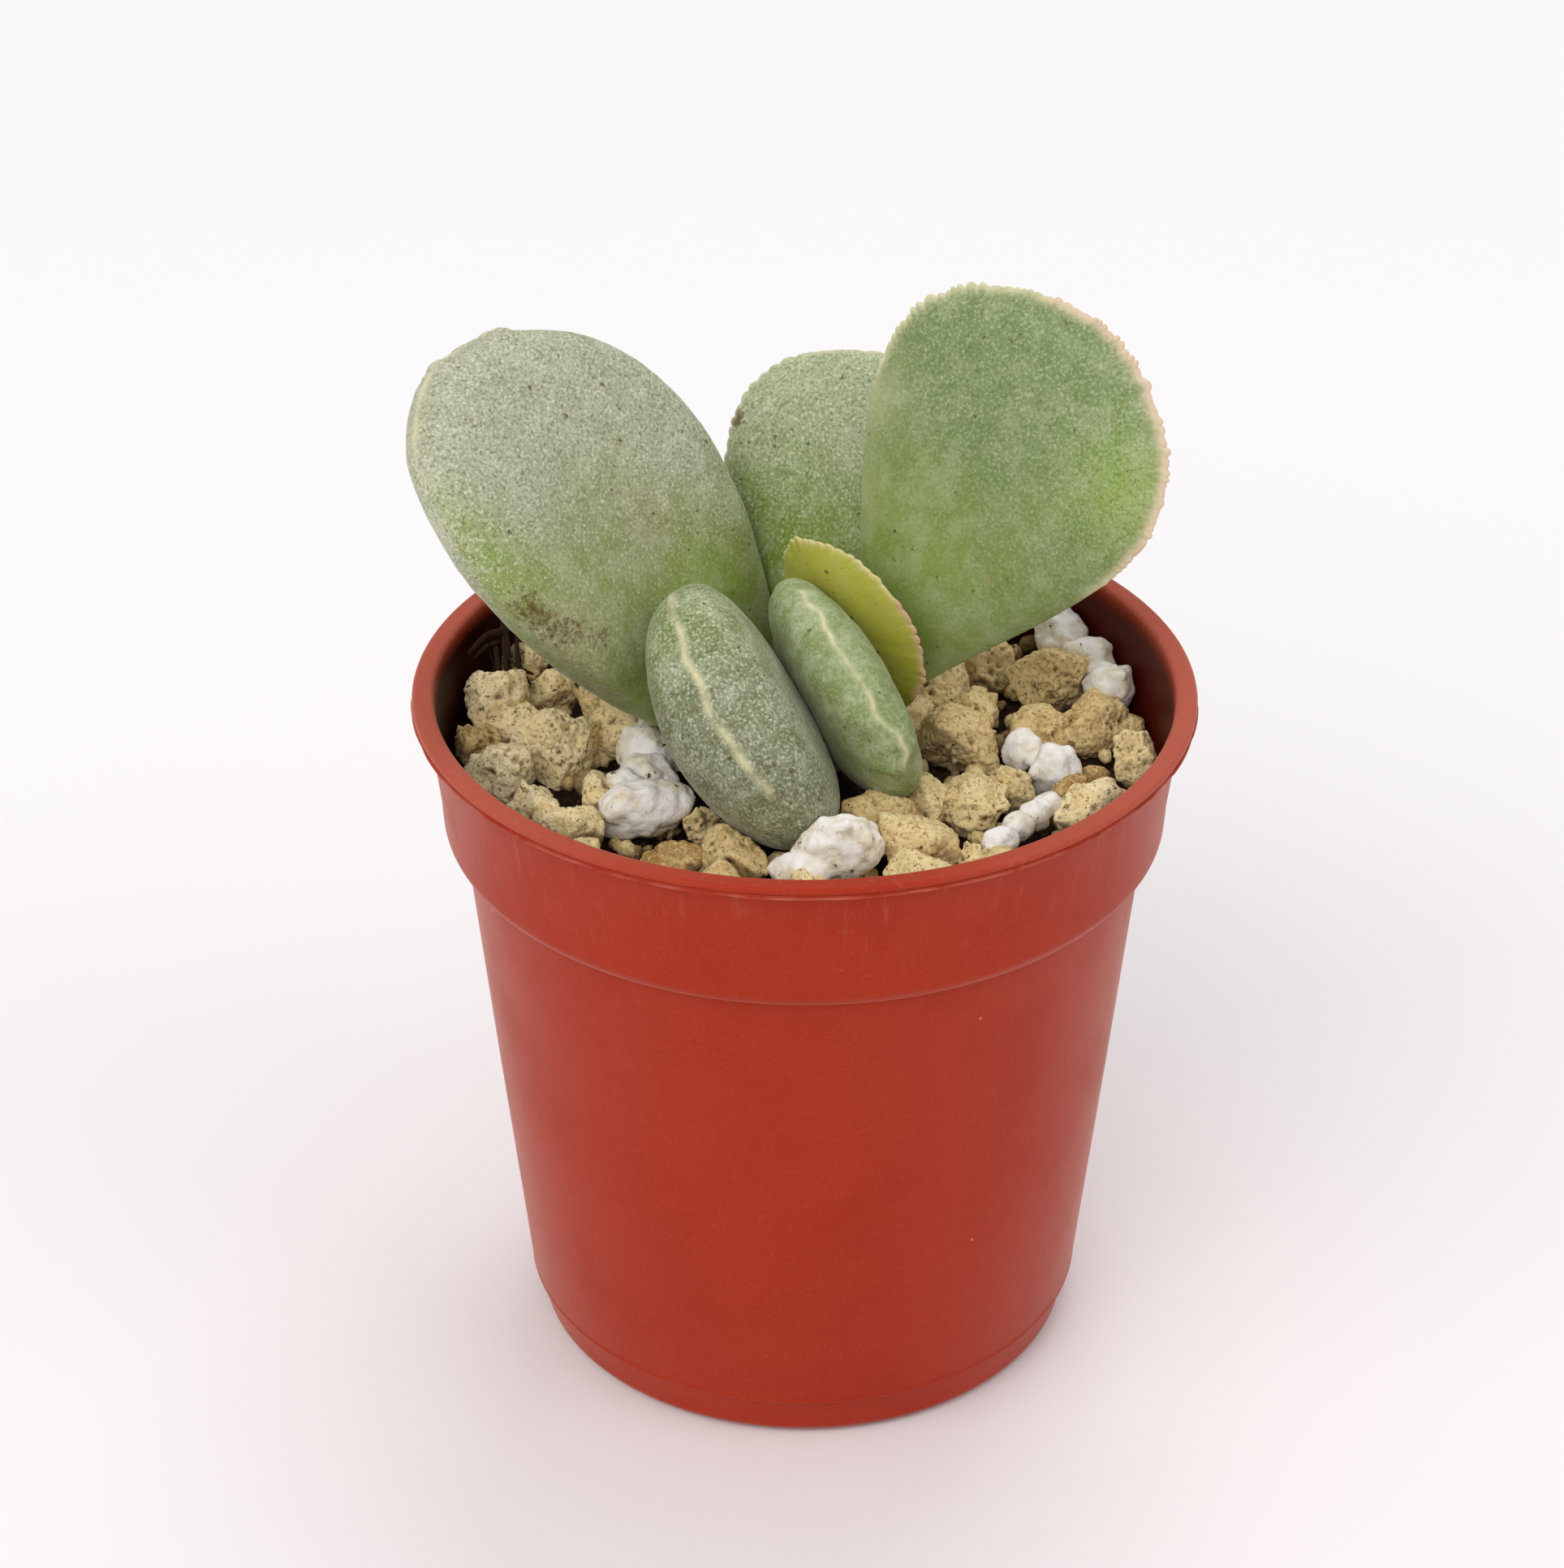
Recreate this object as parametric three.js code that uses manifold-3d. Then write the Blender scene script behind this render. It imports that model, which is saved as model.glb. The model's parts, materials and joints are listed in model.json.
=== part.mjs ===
// A potted Adromischus trigynus: a small terracotta-red nursery pot, its gritty mix and one plant
// with six thick leaves. Units are millimetres and +Z is up. The origin is the centre of the pot's
// foot, on the ground. The viewer stands at -Y.

import * as THREE from 'three';
import { mergeVertices } from 'three/addons/utils/BufferGeometryUtils.js';
import Module from 'manifold-3d';

const wasm = await Module();
wasm.setup();
const { Manifold } = wasm;

// Clearance between neighbouring pieces
const GAP = 0.3;

// Pot: radii and heights of its moulded wall
const POT_HEIGHT = 51.4;
const RIM_RADIUS = 27.5;
const LIP_DEPTH = 0.8;
const LIP_EDGE = 0.25;
const WALL = 0.6;
const COLLAR_TOP_RADIUS = 26.5;
const COLLAR_FOOT = { radius: 25.5, z: 42.0 };
const BODY_TOP = { radius: 24.2, z: 40.7 };
const BAND_TOP = { radius: 20.25, z: 3.5 };
const BAND_STEP = 0.12;
const FOOT_RADIUS = 19.6;
const FOOT_RING = 1.3;
const FLOOR_UNDERSIDE = 1.2;
const FLOOR_TOP = 2.0;
const FLOOR_CORNER = 0.9;
const EDGE = 0.2;
const STEP_BULGE = { out: 0.45, up: 0.7 };
const POT_SEGMENTS = 48;
const DRAIN_RADIUS = 1.9;
const DRAIN_RING_RADIUS = 11.5;
const DRAIN_COUNT = 6;
const DRAIN_SEGMENTS = 12;

// Potting mix and the bed of fine grit over it. The bed rises by BED_DISH from the middle to the
// wall at BED_REACH, fully at the rear and less by BED_TILT towards the sides and the front.
const MIX_TOP = 41.6;
const BED_FOOT = 42.0;
const BED_TOP = 42.9;
const BED_DISH = 2.6;
const BED_REACH = 25;
const BED_TILT = 0.45;
const BED_SEGMENTS = 28;
const BED_RINGS = [9, 17, 24.3];

// Stem with its swollen root, as radius and height from the crown
const CROWN = new THREE.Vector3(1.2, 4.8, 45.0);
const STEM_PROFILE = [
  [0, -22.5], [1.3, -21.4], [3.4, -16.5], [4.4, -11], [3.4, -6],
  [2.3, -3.2], [2.2, 0], [1.9, 1.8], [1.1, 2.9], [0, 3.2],
];
const STEM_SEGMENTS = 16;

// Leaves. base is the foot of the leaf from the crown. heading, rise and roll (degrees) turn its
// midrib and blade. The two outline powers shape the blade from foot to tip, and fullness its two
// faces. bend, cup and skew are shares of its length and width. teeth are the horny lobes of the
// margin, over a stretch of it that runs from the foot (0) up one side, past the tip (0.5) and
// back (1). mesh gives the sides of the margin and the rings between the middle and the margin.
const LEAVES = [
  {
    name: 'leaf_front_left', base: [-3.0, -2.8, 0.1], heading: -113, rise: 33, roll: 47,
    length: 16.0, width: 20.1, thickness: 9.1, outline: [0.76, 0.44], fullness: 0.38,
    bend: 0.07, cup: 0.05, skew: 0.06, foot: 1.6,
    teeth: { size: 0.12, count: 10, from: 0.2, to: 0.8 },
    mesh: { sides: 40, rings: [0.2, 0.5, 0.76, 0.93, 1] },
  },
  {
    name: 'leaf_front_right', base: [1.3, -2.0, -0.6], heading: -85, rise: 60, roll: 65,
    length: 13.7, width: 18.2, thickness: 5.6, outline: [0.9, 0.5], fullness: 0.41,
    bend: -0.04, cup: 0.01, skew: 0.01, foot: 1.5,
    teeth: { size: 0.15, count: 10, from: 0.2, to: 0.8 },
    mesh: { sides: 40, rings: [0.2, 0.5, 0.76, 0.93, 1] },
  },
  {
    name: 'leaf_right', base: [2.0, 0.1, 0.4], heading: 4, rise: 61, roll: -52,
    length: 35.2, width: 23.7, thickness: 5.0, outline: [1.66, 0.61], fullness: 0.65,
    bend: 0.02, cup: 0.05, skew: -0.01, foot: 1.6,
    teeth: { size: 0.22, count: 30, from: 0.27, to: 0.92 },
    mesh: { sides: 92, rings: [0.2, 0.6, 0.88, 1] },
  },
  {
    name: 'leaf_left', base: [-3.2, 2.3, -2.0], heading: 187, rise: 53, roll: -139,
    length: 37.6, width: 22.7, thickness: 7.0, outline: [0.96, 0.52], fullness: 0.33,
    bend: 0.05, cup: -0.11, skew: -0.03, foot: 1.6,
    teeth: { size: 0.12, count: 8, from: 0.36, to: 0.64 },
    mesh: { sides: 46, rings: [0.2, 0.5, 0.78, 0.93, 1] },
  },
  {
    name: 'leaf_back', base: [1.0, 3.2, 0.4], heading: 78, rise: 68, roll: -172,
    length: 25.1, width: 19.4, thickness: 4.6, outline: [1.04, 0.44], fullness: 0.6,
    bend: 0.02, cup: -0.02, skew: 0, foot: 1.6,
    teeth: { size: 0.15, count: 18, from: 0.2, to: 0.8 },
    mesh: { sides: 56, rings: [0.2, 0.6, 0.88, 1] },
  },
  {
    name: 'leaf_young', base: [3.0, -0.6, 2.0], heading: 149, rise: 80, roll: 107,
    length: 13.4, width: 13.1, thickness: 1.8, outline: [0.44, 0.45], fullness: 0.6,
    bend: 0.13, cup: -0.05, skew: 0.01, foot: 1.0,
    teeth: { size: 0.18, count: 20, from: 0.12, to: 0.88 },
    mesh: { sides: 52, rings: [0.2, 0.6, 0.88, 1] },
  },
];

// Form shared by all leaves: where the spine that the faces swell from starts and ends, where the
// blunt foot gives way to the blade and how far the two overlap, how thick the foot is and where
// full thickness begins, how the faces fall to the margin, and how close to it the teeth stay
const SPINE = [0.3, 0.72];
const FOOT_SHARE = 0.07;
const FOOT_PINCH = 0.3;
const FOOT_THICKNESS = 0.5;
const FULL_THICKNESS_AT = 0.42;
const FACE_FALL = 2.2;
const TOOTH_FADE = 12;
const MIDDLE_SHARE = 0.25;

// Stones of the top dressing: centre, then size across, deep and high, and a turn in degrees
const PUMICE = [
  { at: [-22.2, 6.2, 46.5], size: [5.0, 4.4, 4.4], turn: 10 },
  { at: [-20.9, 4.6, 45.2], size: [5.0, 4.0, 3.8], turn: -15 },
  { at: [-23.2, 1.8, 45.5], size: [3.4, 3.6, 3.4], turn: 0 },
  { at: [-21.7, -1.7, 45.1], size: [4.8, 4.8, 4.8], turn: 25 },
  { at: [-17.4, 2.1, 44.6], size: [6.7, 6.0, 6.2], turn: 5 },
  { at: [-18.6, 9.4, 45.2], size: [4.0, 3.8, 3.8], turn: 40 },
  { at: [-14.1, 8.0, 44.8], size: [4.6, 3.8, 3.4], turn: 0 },
  { at: [-18.6, -6.9, 45.0], size: [3.9, 3.7, 3.8], turn: -30 },
  { at: [-16.1, -9.3, 45.0], size: [4.8, 4.2, 4.2], turn: 15 },
  { at: [-14.1, -4.8, 44.9], size: [2.8, 3.0, 3.8], turn: 0 },
  { at: [-4.8, -12.3, 44.3], size: [5.4, 4.6, 4.0], turn: -20 },
  { at: [-9.4, -12.6, 44.0], size: [5.0, 4.2, 3.4], turn: 12 },
  { at: [-7.1, -7.8, 44.4], size: [2.6, 3.0, 3.4], turn: 0 },
  { at: [-20.4, 12.0, 46.1], size: [3.2, 2.8, 3.6], turn: 30 },
  { at: [7.8, -11.3, 44.6], size: [5.5, 4.8, 4.8], turn: 0 },
  { at: [7.9, -5.2, 44.4], size: [5.8, 4.8, 4.6], turn: 8 },
  { at: [12.0, -5.1, 44.4], size: [4.9, 4.4, 4.5], turn: -20 },
  { at: [11.1, 3.4, 44.6], size: [6.5, 5.4, 5.2], turn: -12 },
  { at: [12.1, 6.6, 44.9], size: [4.8, 4.2, 4.2], turn: -35 },
  { at: [14.4, -3.1, 44.6], size: [3.1, 3.2, 3.8], turn: 0 },
  { at: [17.9, 10.6, 45.8], size: [6.6, 5.4, 5.4], turn: -8 },
  { at: [13.2, 13.4, 44.9], size: [4.9, 4.6, 4.6], turn: 20 },
  { at: [17.0, 4.0, 44.9], size: [4.6, 4.2, 4.4], turn: 0 },
  { at: [20.5, 4.7, 44.9], size: [5.8, 4.8, 5.0], turn: 15 },
  { at: [23.2, -0.8, 45.5], size: [3.4, 3.6, 4.4], turn: 20 },
  { at: [18.7, -4.6, 45.2], size: [2.9, 2.6, 3.0], turn: 0 },
  { at: [19.5, -6.8, 45.0], size: [6.2, 4.0, 4.2], turn: 32 },
  { at: [22.6, 4.4, 44.4], size: [3.8, 3.6, 3.2], turn: 0 },
  { at: [11.2, -12.4, 44.2], size: [2.8, 2.8, 2.8], turn: 45 },
];
const PERLITE = {
  perlite_left: [
    { at: [-11.0, 1.8, 45.1], size: [4.7, 4.6, 4.4], turn: 0 },
    { at: [-11.4, -2.2, 44.8], size: [4.0, 4.2, 3.8], turn: 30 },
    { at: [-12.5, -4.2, 45.3], size: [3.1, 2.8, 2.6], turn: 0 },
    { at: [-11.2, -6.3, 44.9], size: [6.8, 4.8, 4.4], turn: 18 },
  ],
  perlite_left_rear: [{ at: [-16.9, 11.6, 46.0], size: [2.4, 2.2, 2.2], turn: 0 }],
  perlite_front: [
    { at: [2.2, -13.2, 45.8], size: [6.2, 4.2, 5.4], turn: 8 },
    { at: [-0.6, -14.0, 44.6], size: [4.4, 3.6, 3.2], turn: -10 },
  ],
  perlite_right_rear: [
    { at: [18.9, 15.0, 46.9], size: [4.8, 4.6, 3.8], turn: -35 },
    { at: [20.8, 11.9, 46.8], size: [4.4, 4.0, 3.4], turn: 0 },
    { at: [22.2, 8.6, 46.3], size: [4.2, 4.2, 3.8], turn: 20 },
  ],
  perlite_right_middle: [
    { at: [15.4, 1.1, 45.3], size: [3.0, 2.8, 3.0], turn: 0 },
    { at: [17.5, -0.8, 45.0], size: [3.9, 3.6, 4.0], turn: 30 },
  ],
  perlite_right_small: [
    { at: [16.9, -6.0, 45.1], size: [1.9, 1.9, 1.9], turn: 0 },
    { at: [15.9, -7.1, 44.9], size: [2.1, 2.0, 2.2], turn: 0 },
    { at: [14.7, -8.5, 44.7], size: [2.1, 2.1, 2.3], turn: 0 },
  ],
  perlite_right_front: [{ at: [13.3, -11.0, 44.9], size: [2.5, 2.3, 2.2], turn: 0 }],
  perlite_rear: [
    { at: [2.4, 17.6, 46.4], size: [4.6, 4.0, 3.8], turn: 15 },
    { at: [5.4, 18.6, 46.2], size: [3.8, 3.4, 3.4], turn: 0 },
  ],
  perlite_rear_left: [{ at: [-8.6, 19.6, 46.6], size: [4.2, 3.8, 3.6], turn: 25 }],
};

// Further pumice where the leaves hide the surface, set out in rings and kept off the placed stones
const FILL_RINGS = [
  { radius: 22.0, count: 28 },
  { radius: 18.2, count: 22 },
  { radius: 13.8, count: 16 },
  { radius: 9.4, count: 11 },
];
const FILL_SIZE = [5.4, 6.8];
const FILL_SHAPE = [1, 0.9, 0.8];
const FILL_SINK = 0.24;
const FILL_SWING = 0.5;
const FILL_SPACING = 0.33;
const FILL_CROWN_CLEARANCE = 5;
const FILL_SEED = 400;

// Cleavage planes of a stone: how many, how far each may swing from the golden spiral, how near and
// far from the middle they lie, and how sharp an edge they leave. Pebbles have fewer facets.
const STONE_PLANES = 14;
const STONE_EDGE = 9;
const GOLDEN_ANGLE = 2.399963;
const PLANE_SWING = 1.6;
const PLANE_REACH = [0.76, 1.06];
const PLANE_SEED = { step: 7, reach: 3 };
const STONE_SEED_STEP = 50;
const PUMICE_SEED = 1;
const PERLITE_SEED = 900;
const PERLITE_SEED_STEP = 300;
const PEBBLE_SIZE = 4.7;

// How far a lump is grown to cut its neighbours, enough to clear its nearest facets as well
const LUMP_CLEARANCE = 1.3 * GAP;

// Bark: fibrous strips as routes of their middle line, each with a lens-shaped section
const BARK_STEPS = 6;
const BARK_STRIPS = [
  {
    broad: 1.2, thin: 0.8,
    route: [[-24.0, 7.2, 49.6], [-23.0, 9.4, 49.7], [-21.6, 11.6, 49.1], [-19.4, 14.2, 48.4]],
  },
  {
    broad: 2.0, thin: 0.9,
    route: [[-21.7, 12.2, 49.4], [-21.5, 10.8, 48.4], [-21.4, 9.6, 47.2], [-20.4, 8.2, 45.8]],
  },
];

// Finishes
const FINISH = {
  plastic: { color: '#a63a29', roughness: 0.45 },
  mix: { color: '#2a1c15', roughness: 1.0 },
  pumice: { color: '#c4ae84', roughness: 0.95 },
  perlite: { color: '#e6e1df', roughness: 0.9 },
  bark: { color: '#33241d', roughness: 0.95 },
  stem: { color: '#7d6a4f', roughness: 0.8 },
  leaf: { color: '#8d9c78', roughness: 0.6 },
  youngLeaf: { color: '#a9ab4e', roughness: 0.5 },
};

function draw(seed) {
  const value = Math.sin(seed * 12.9898 + 4.1414) * 43758.5453;
  return value - Math.floor(value);
}

function weld(geometry) {
  const bare = geometry.index ? geometry.toNonIndexed() : geometry;
  bare.deleteAttribute('normal');
  bare.deleteAttribute('uv');
  return mergeVertices(bare, 1e-4);
}

function solidOf(geometry) {
  const welded = weld(geometry);
  const vertProperties = new Float32Array(welded.attributes.position.array);
  const triVerts = new Uint32Array(welded.index.array);
  return new Manifold(new wasm.Mesh({ numProp: 3, vertProperties, triVerts }));
}

function geometryOf(solid) {
  const mesh = solid.getMesh();
  const geometry = new THREE.BufferGeometry();
  geometry.setAttribute('position', new THREE.BufferAttribute(mesh.vertProperties, 3));
  geometry.setIndex(new THREE.BufferAttribute(mesh.triVerts, 1));
  return geometry;
}

// The same form grown outwards by a distance, to cut a neighbour clear of it
function swollen(geometry, distance = GAP) {
  const grown = weld(geometry.clone());
  grown.computeVertexNormals();
  const { position, normal } = grown.attributes;
  for (let i = 0; i < position.count; i += 1) {
    position.setXYZ(
      i,
      position.getX(i) + normal.getX(i) * distance,
      position.getY(i) + normal.getY(i) * distance,
      position.getZ(i) + normal.getZ(i) * distance,
    );
  }
  return solidOf(grown);
}

function largestPiece(solid) {
  return solid.decompose().reduce((best, piece) => (piece.volume() > best.volume() ? piece : best));
}

// A body turned about +Z from points of radius and height, listed anticlockwise
function turned(points, segments) {
  const geometry = new THREE.LatheGeometry(points.map(([r, z]) => new THREE.Vector2(r, z)), segments);
  geometry.rotateX(Math.PI / 2);
  return geometry;
}

function wallRadius(lower, upper, z) {
  return lower.radius + ((upper.radius - lower.radius) * (z - lower.z)) / (upper.z - lower.z);
}

// Inner face of the wall as radius and height, from the floor's edge up to the rim
function innerWall(inset) {
  const rise = WALL + inset;
  return [
    [wallRadius(BAND_TOP, BODY_TOP, FLOOR_TOP + FLOOR_CORNER) - rise, FLOOR_TOP + FLOOR_CORNER],
    [BODY_TOP.radius - rise, BODY_TOP.z - EDGE],
    [COLLAR_FOOT.radius - rise, COLLAR_FOOT.z + EDGE],
    [COLLAR_TOP_RADIUS - rise, POT_HEIGHT - 2 * EDGE],
  ];
}

function potGeometry() {
  const [floorEdge, bodyInner, collarInner, rimInner] = innerWall(0);
  const lipFoot = POT_HEIGHT - LIP_DEPTH;
  const profile = [
    [0, FLOOR_UNDERSIDE],
    [FOOT_RADIUS - FOOT_RING - 2 * EDGE, FLOOR_UNDERSIDE],
    [FOOT_RADIUS - FOOT_RING, 0],
    [FOOT_RADIUS - EDGE, 0],
    [FOOT_RADIUS, EDGE],
    [BAND_TOP.radius - BAND_STEP, BAND_TOP.z],
    [BAND_TOP.radius + BAND_STEP, BAND_TOP.z + EDGE],
    [BODY_TOP.radius, BODY_TOP.z],
    [BODY_TOP.radius + STEP_BULGE.out, BODY_TOP.z + STEP_BULGE.up],
    [COLLAR_FOOT.radius - EDGE, COLLAR_FOOT.z - EDGE],
    [COLLAR_FOOT.radius + EDGE / 2, COLLAR_FOOT.z + 2 * EDGE],
    [COLLAR_TOP_RADIUS, lipFoot],
    [RIM_RADIUS - LIP_EDGE, lipFoot],
    [RIM_RADIUS, lipFoot + LIP_EDGE],
    [RIM_RADIUS, POT_HEIGHT - LIP_EDGE],
    [RIM_RADIUS - LIP_EDGE, POT_HEIGHT],
    [rimInner[0] + 2 * EDGE, POT_HEIGHT],
    rimInner,
    collarInner,
    bodyInner,
    floorEdge,
    [floorEdge[0] - FLOOR_CORNER, FLOOR_TOP],
    [0, FLOOR_TOP],
  ];
  let pot = solidOf(turned(profile, POT_SEGMENTS));
  for (let i = 0; i < DRAIN_COUNT; i += 1) {
    const angle = (i / DRAIN_COUNT) * 2 * Math.PI;
    const drain = new THREE.CylinderGeometry(DRAIN_RADIUS, DRAIN_RADIUS, 2 * FLOOR_TOP, DRAIN_SEGMENTS);
    drain.rotateX(Math.PI / 2);
    drain.translate(DRAIN_RING_RADIUS * Math.cos(angle), DRAIN_RING_RADIUS * Math.sin(angle), FLOOR_TOP);
    pot = pot.subtract(solidOf(drain));
  }
  return geometryOf(pot);
}

// The room inside the pot, kept a clearance off its wall and floor
function cavity() {
  const [floorEdge, bodyInner, collarInner, rimInner] = innerWall(GAP);
  return solidOf(turned([
    [0, FLOOR_TOP + GAP],
    [floorEdge[0] - FLOOR_CORNER, FLOOR_TOP + GAP],
    [floorEdge[0], floorEdge[1] + GAP],
    bodyInner,
    collarInner,
    rimInner,
    [0, rimInner[1]],
  ], POT_SEGMENTS));
}

// A block wider than the pot that reaches from the ground up to a height
function slab(height) {
  const block = new THREE.BoxGeometry(3 * RIM_RADIUS, 3 * RIM_RADIUS, height);
  block.translate(0, 0, height / 2);
  return solidOf(block);
}

function stemGeometry() {
  const geometry = turned(STEM_PROFILE, STEM_SEGMENTS);
  geometry.translate(CROWN.x, CROWN.y, CROWN.z);
  return geometry;
}

function smoothstep(t) {
  const clamped = Math.min(1, Math.max(0, t));
  return clamped * clamped * (3 - 2 * clamped);
}

// Half width of a leaf at a share s of its length, foot included
function halfWidth(leaf, s) {
  const [rise, fall] = leaf.outline;
  const peak = rise / (rise + fall);
  const blade = (s ** rise * (1 - s) ** fall) / (peak ** rise * (1 - peak) ** fall);
  const start = s < FOOT_SHARE
    ? Math.sqrt(1 - ((FOOT_SHARE - s) / FOOT_SHARE) ** 2)
    : (1 - s) / (1 - FOOT_SHARE);
  const foot = start * Math.sqrt(1 - s);
  return blade * (leaf.width / 2 - FOOT_PINCH * leaf.foot) + leaf.foot * foot;
}

// Outward reach of the horny teeth at a share t round the margin
function toothReach(teeth, t) {
  if (t < teeth.from || t > teeth.to) return 0;
  const span = (t - teeth.from) / (teeth.to - teeth.from);
  return teeth.size * (0.5 - 0.5 * Math.cos(2 * Math.PI * teeth.count * span));
}

// Shares round the margin, two to a tooth and evenly spread where it is smooth
function marginShares({ mesh, teeth }) {
  const toothed = Array.from({ length: 2 * teeth.count + 1 }, (_, i) => (
    teeth.from + ((teeth.to - teeth.from) * i) / (2 * teeth.count)
  ));
  const plain = mesh.sides - toothed.length;
  const room = 1 - (teeth.to - teeth.from);
  const smooth = Array.from({ length: plain }, (_, i) => (
    (teeth.to + (room * (i + 1)) / (plain + 1)) % 1
  ));
  return [...toothed, ...smooth].sort((a, b) => a - b);
}

// A leaf of two swollen faces that meet at its margin, foot at the origin and tip along +Y
function leafBlade(leaf) {
  const { length, width, thickness } = leaf;
  const { rings } = leaf.mesh;
  const shares = marginShares(leaf);
  const point = (share, ring, face) => {
    const theta = 2 * Math.PI * share;
    const s = (1 - Math.cos(theta)) / 2;
    const side = share < 0.5 ? 1 : -1;
    const reach = 1 + (toothReach(leaf.teeth, share) * ring ** TOOTH_FADE) / (width / 2);
    const edgeX = side * halfWidth(leaf, s) * (1 + leaf.skew * side);
    const spineY = length * (SPINE[0] + (SPINE[1] - SPINE[0]) * s);
    const x = edgeX * ring * reach;
    const y = spineY + (s * length - spineY) * ring * reach;
    const along = y / length;
    const swell = FOOT_THICKNESS + (1 - FOOT_THICKNESS) * smoothstep(along / FULL_THICKNESS_AT);
    const half = (thickness / 2) * (1 - ring ** FACE_FALL) ** leaf.fullness * swell;
    const lift = leaf.bend * length * along ** 2 + leaf.cup * width * (x / (width / 2)) ** 2;
    return [x, y, face * half + lift];
  };
  const vertices = [];
  const triangle = (face, a, b, c) => vertices.push(...a, ...(face > 0 ? b : c), ...(face > 0 ? c : b));
  shares.forEach((share, i) => {
    const next = shares[(i + 1) % shares.length];
    for (const face of [1, -1]) {
      const middle = point(MIDDLE_SHARE, 0, face);
      triangle(face, middle, point(share, rings[0], face), point(next, rings[0], face));
      for (let k = 0; k + 1 < rings.length; k += 1) {
        const inner = point(share, rings[k], face);
        const outer = point(next, rings[k + 1], face);
        triangle(face, inner, point(share, rings[k + 1], face), outer);
        triangle(face, inner, outer, point(next, rings[k], face));
      }
    }
  });
  const geometry = new THREE.BufferGeometry();
  geometry.setAttribute('position', new THREE.Float32BufferAttribute(vertices, 3));
  return geometry;
}

// Turns a leaf from its own frame to its place on the stem
function leafGeometry(leaf) {
  const heading = THREE.MathUtils.degToRad(leaf.heading);
  const rise = THREE.MathUtils.degToRad(leaf.rise);
  const roll = THREE.MathUtils.degToRad(leaf.roll);
  const midrib = new THREE.Vector3(
    Math.cos(rise) * Math.cos(heading),
    Math.cos(rise) * Math.sin(heading),
    Math.sin(rise),
  );
  const level = new THREE.Vector3().crossVectors(midrib, new THREE.Vector3(0, 0, 1)).normalize();
  const upright = new THREE.Vector3().crossVectors(level, midrib);
  const across = level.clone().multiplyScalar(Math.cos(roll)).addScaledVector(upright, Math.sin(roll));
  const facing = new THREE.Vector3().crossVectors(across, midrib);
  const place = new THREE.Matrix4().makeBasis(across, midrib, facing);
  place.setPosition(new THREE.Vector3(...leaf.base).add(CROWN));
  return leafBlade(leaf).applyMatrix4(place);
}

// Keeps a stone off the pot's wall and off the mix, as if pressed flat against them
function pressInside({ attributes: { position } }) {
  const [, bodyInner, collarInner, rimInner] = innerWall(GAP);
  for (let i = 0; i < position.count; i += 1) {
    const [x, y, z] = [position.getX(i), position.getY(i), position.getZ(i)];
    const collar = wallRadius(
      { radius: collarInner[0], z: collarInner[1] },
      { radius: rimInner[0], z: rimInner[1] },
      z,
    );
    const limit = (z < collarInner[1] ? bodyInner[0] : collar) * Math.cos(Math.PI / POT_SEGMENTS);
    const shrink = Math.min(1, limit / Math.hypot(x, y));
    position.setXYZ(i, x * shrink, y * shrink, Math.max(z, BED_FOOT));
  }
}

// A broken stone: a ball pulled in to soft-edged cleavage planes
function stoneGeometry({ at, size, turn, coarse }, seed) {
  const [near, far] = PLANE_REACH;
  const planes = Array.from({ length: STONE_PLANES }, (_, k) => {
    const own = seed + PLANE_SEED.step * k;
    const z = 1 - (2 * k + 1) / STONE_PLANES;
    const angle = GOLDEN_ANGLE * k + PLANE_SWING * draw(own);
    const flat = Math.sqrt(1 - z * z);
    const normal = new THREE.Vector3(flat * Math.cos(angle), flat * Math.sin(angle), z);
    return { normal, reach: near + (far - near) * draw(own + PLANE_SEED.reach) };
  });
  const geometry = weld(coarse ? new THREE.OctahedronGeometry(1, 1) : new THREE.IcosahedronGeometry(1, 1));
  const { position } = geometry.attributes;
  const direction = new THREE.Vector3();
  for (let i = 0; i < position.count; i += 1) {
    direction.fromBufferAttribute(position, i).normalize();
    const pull = planes.reduce((sum, { normal, reach }) => (
      sum + Math.max(0, direction.dot(normal) / reach) ** STONE_EDGE
    ), 0);
    direction.multiplyScalar(pull ** (-1 / STONE_EDGE));
    position.setXYZ(i, direction.x, direction.y, direction.z);
  }
  geometry.computeBoundingBox();
  geometry.center();
  const { min, max } = geometry.boundingBox;
  geometry.scale(size[0] / (max.x - min.x), size[1] / (max.y - min.y), size[2] / (max.z - min.z));
  geometry.rotateZ(THREE.MathUtils.degToRad(turn));
  geometry.translate(...at);
  pressInside(geometry);
  return geometry;
}

function bedHeight(x, y) {
  const share = Math.min(1, Math.hypot(x, y) / BED_REACH);
  const rear = 1 - BED_TILT + BED_TILT * (y / BED_REACH);
  return BED_TOP + BED_DISH * share ** 2 * rear;
}

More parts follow.
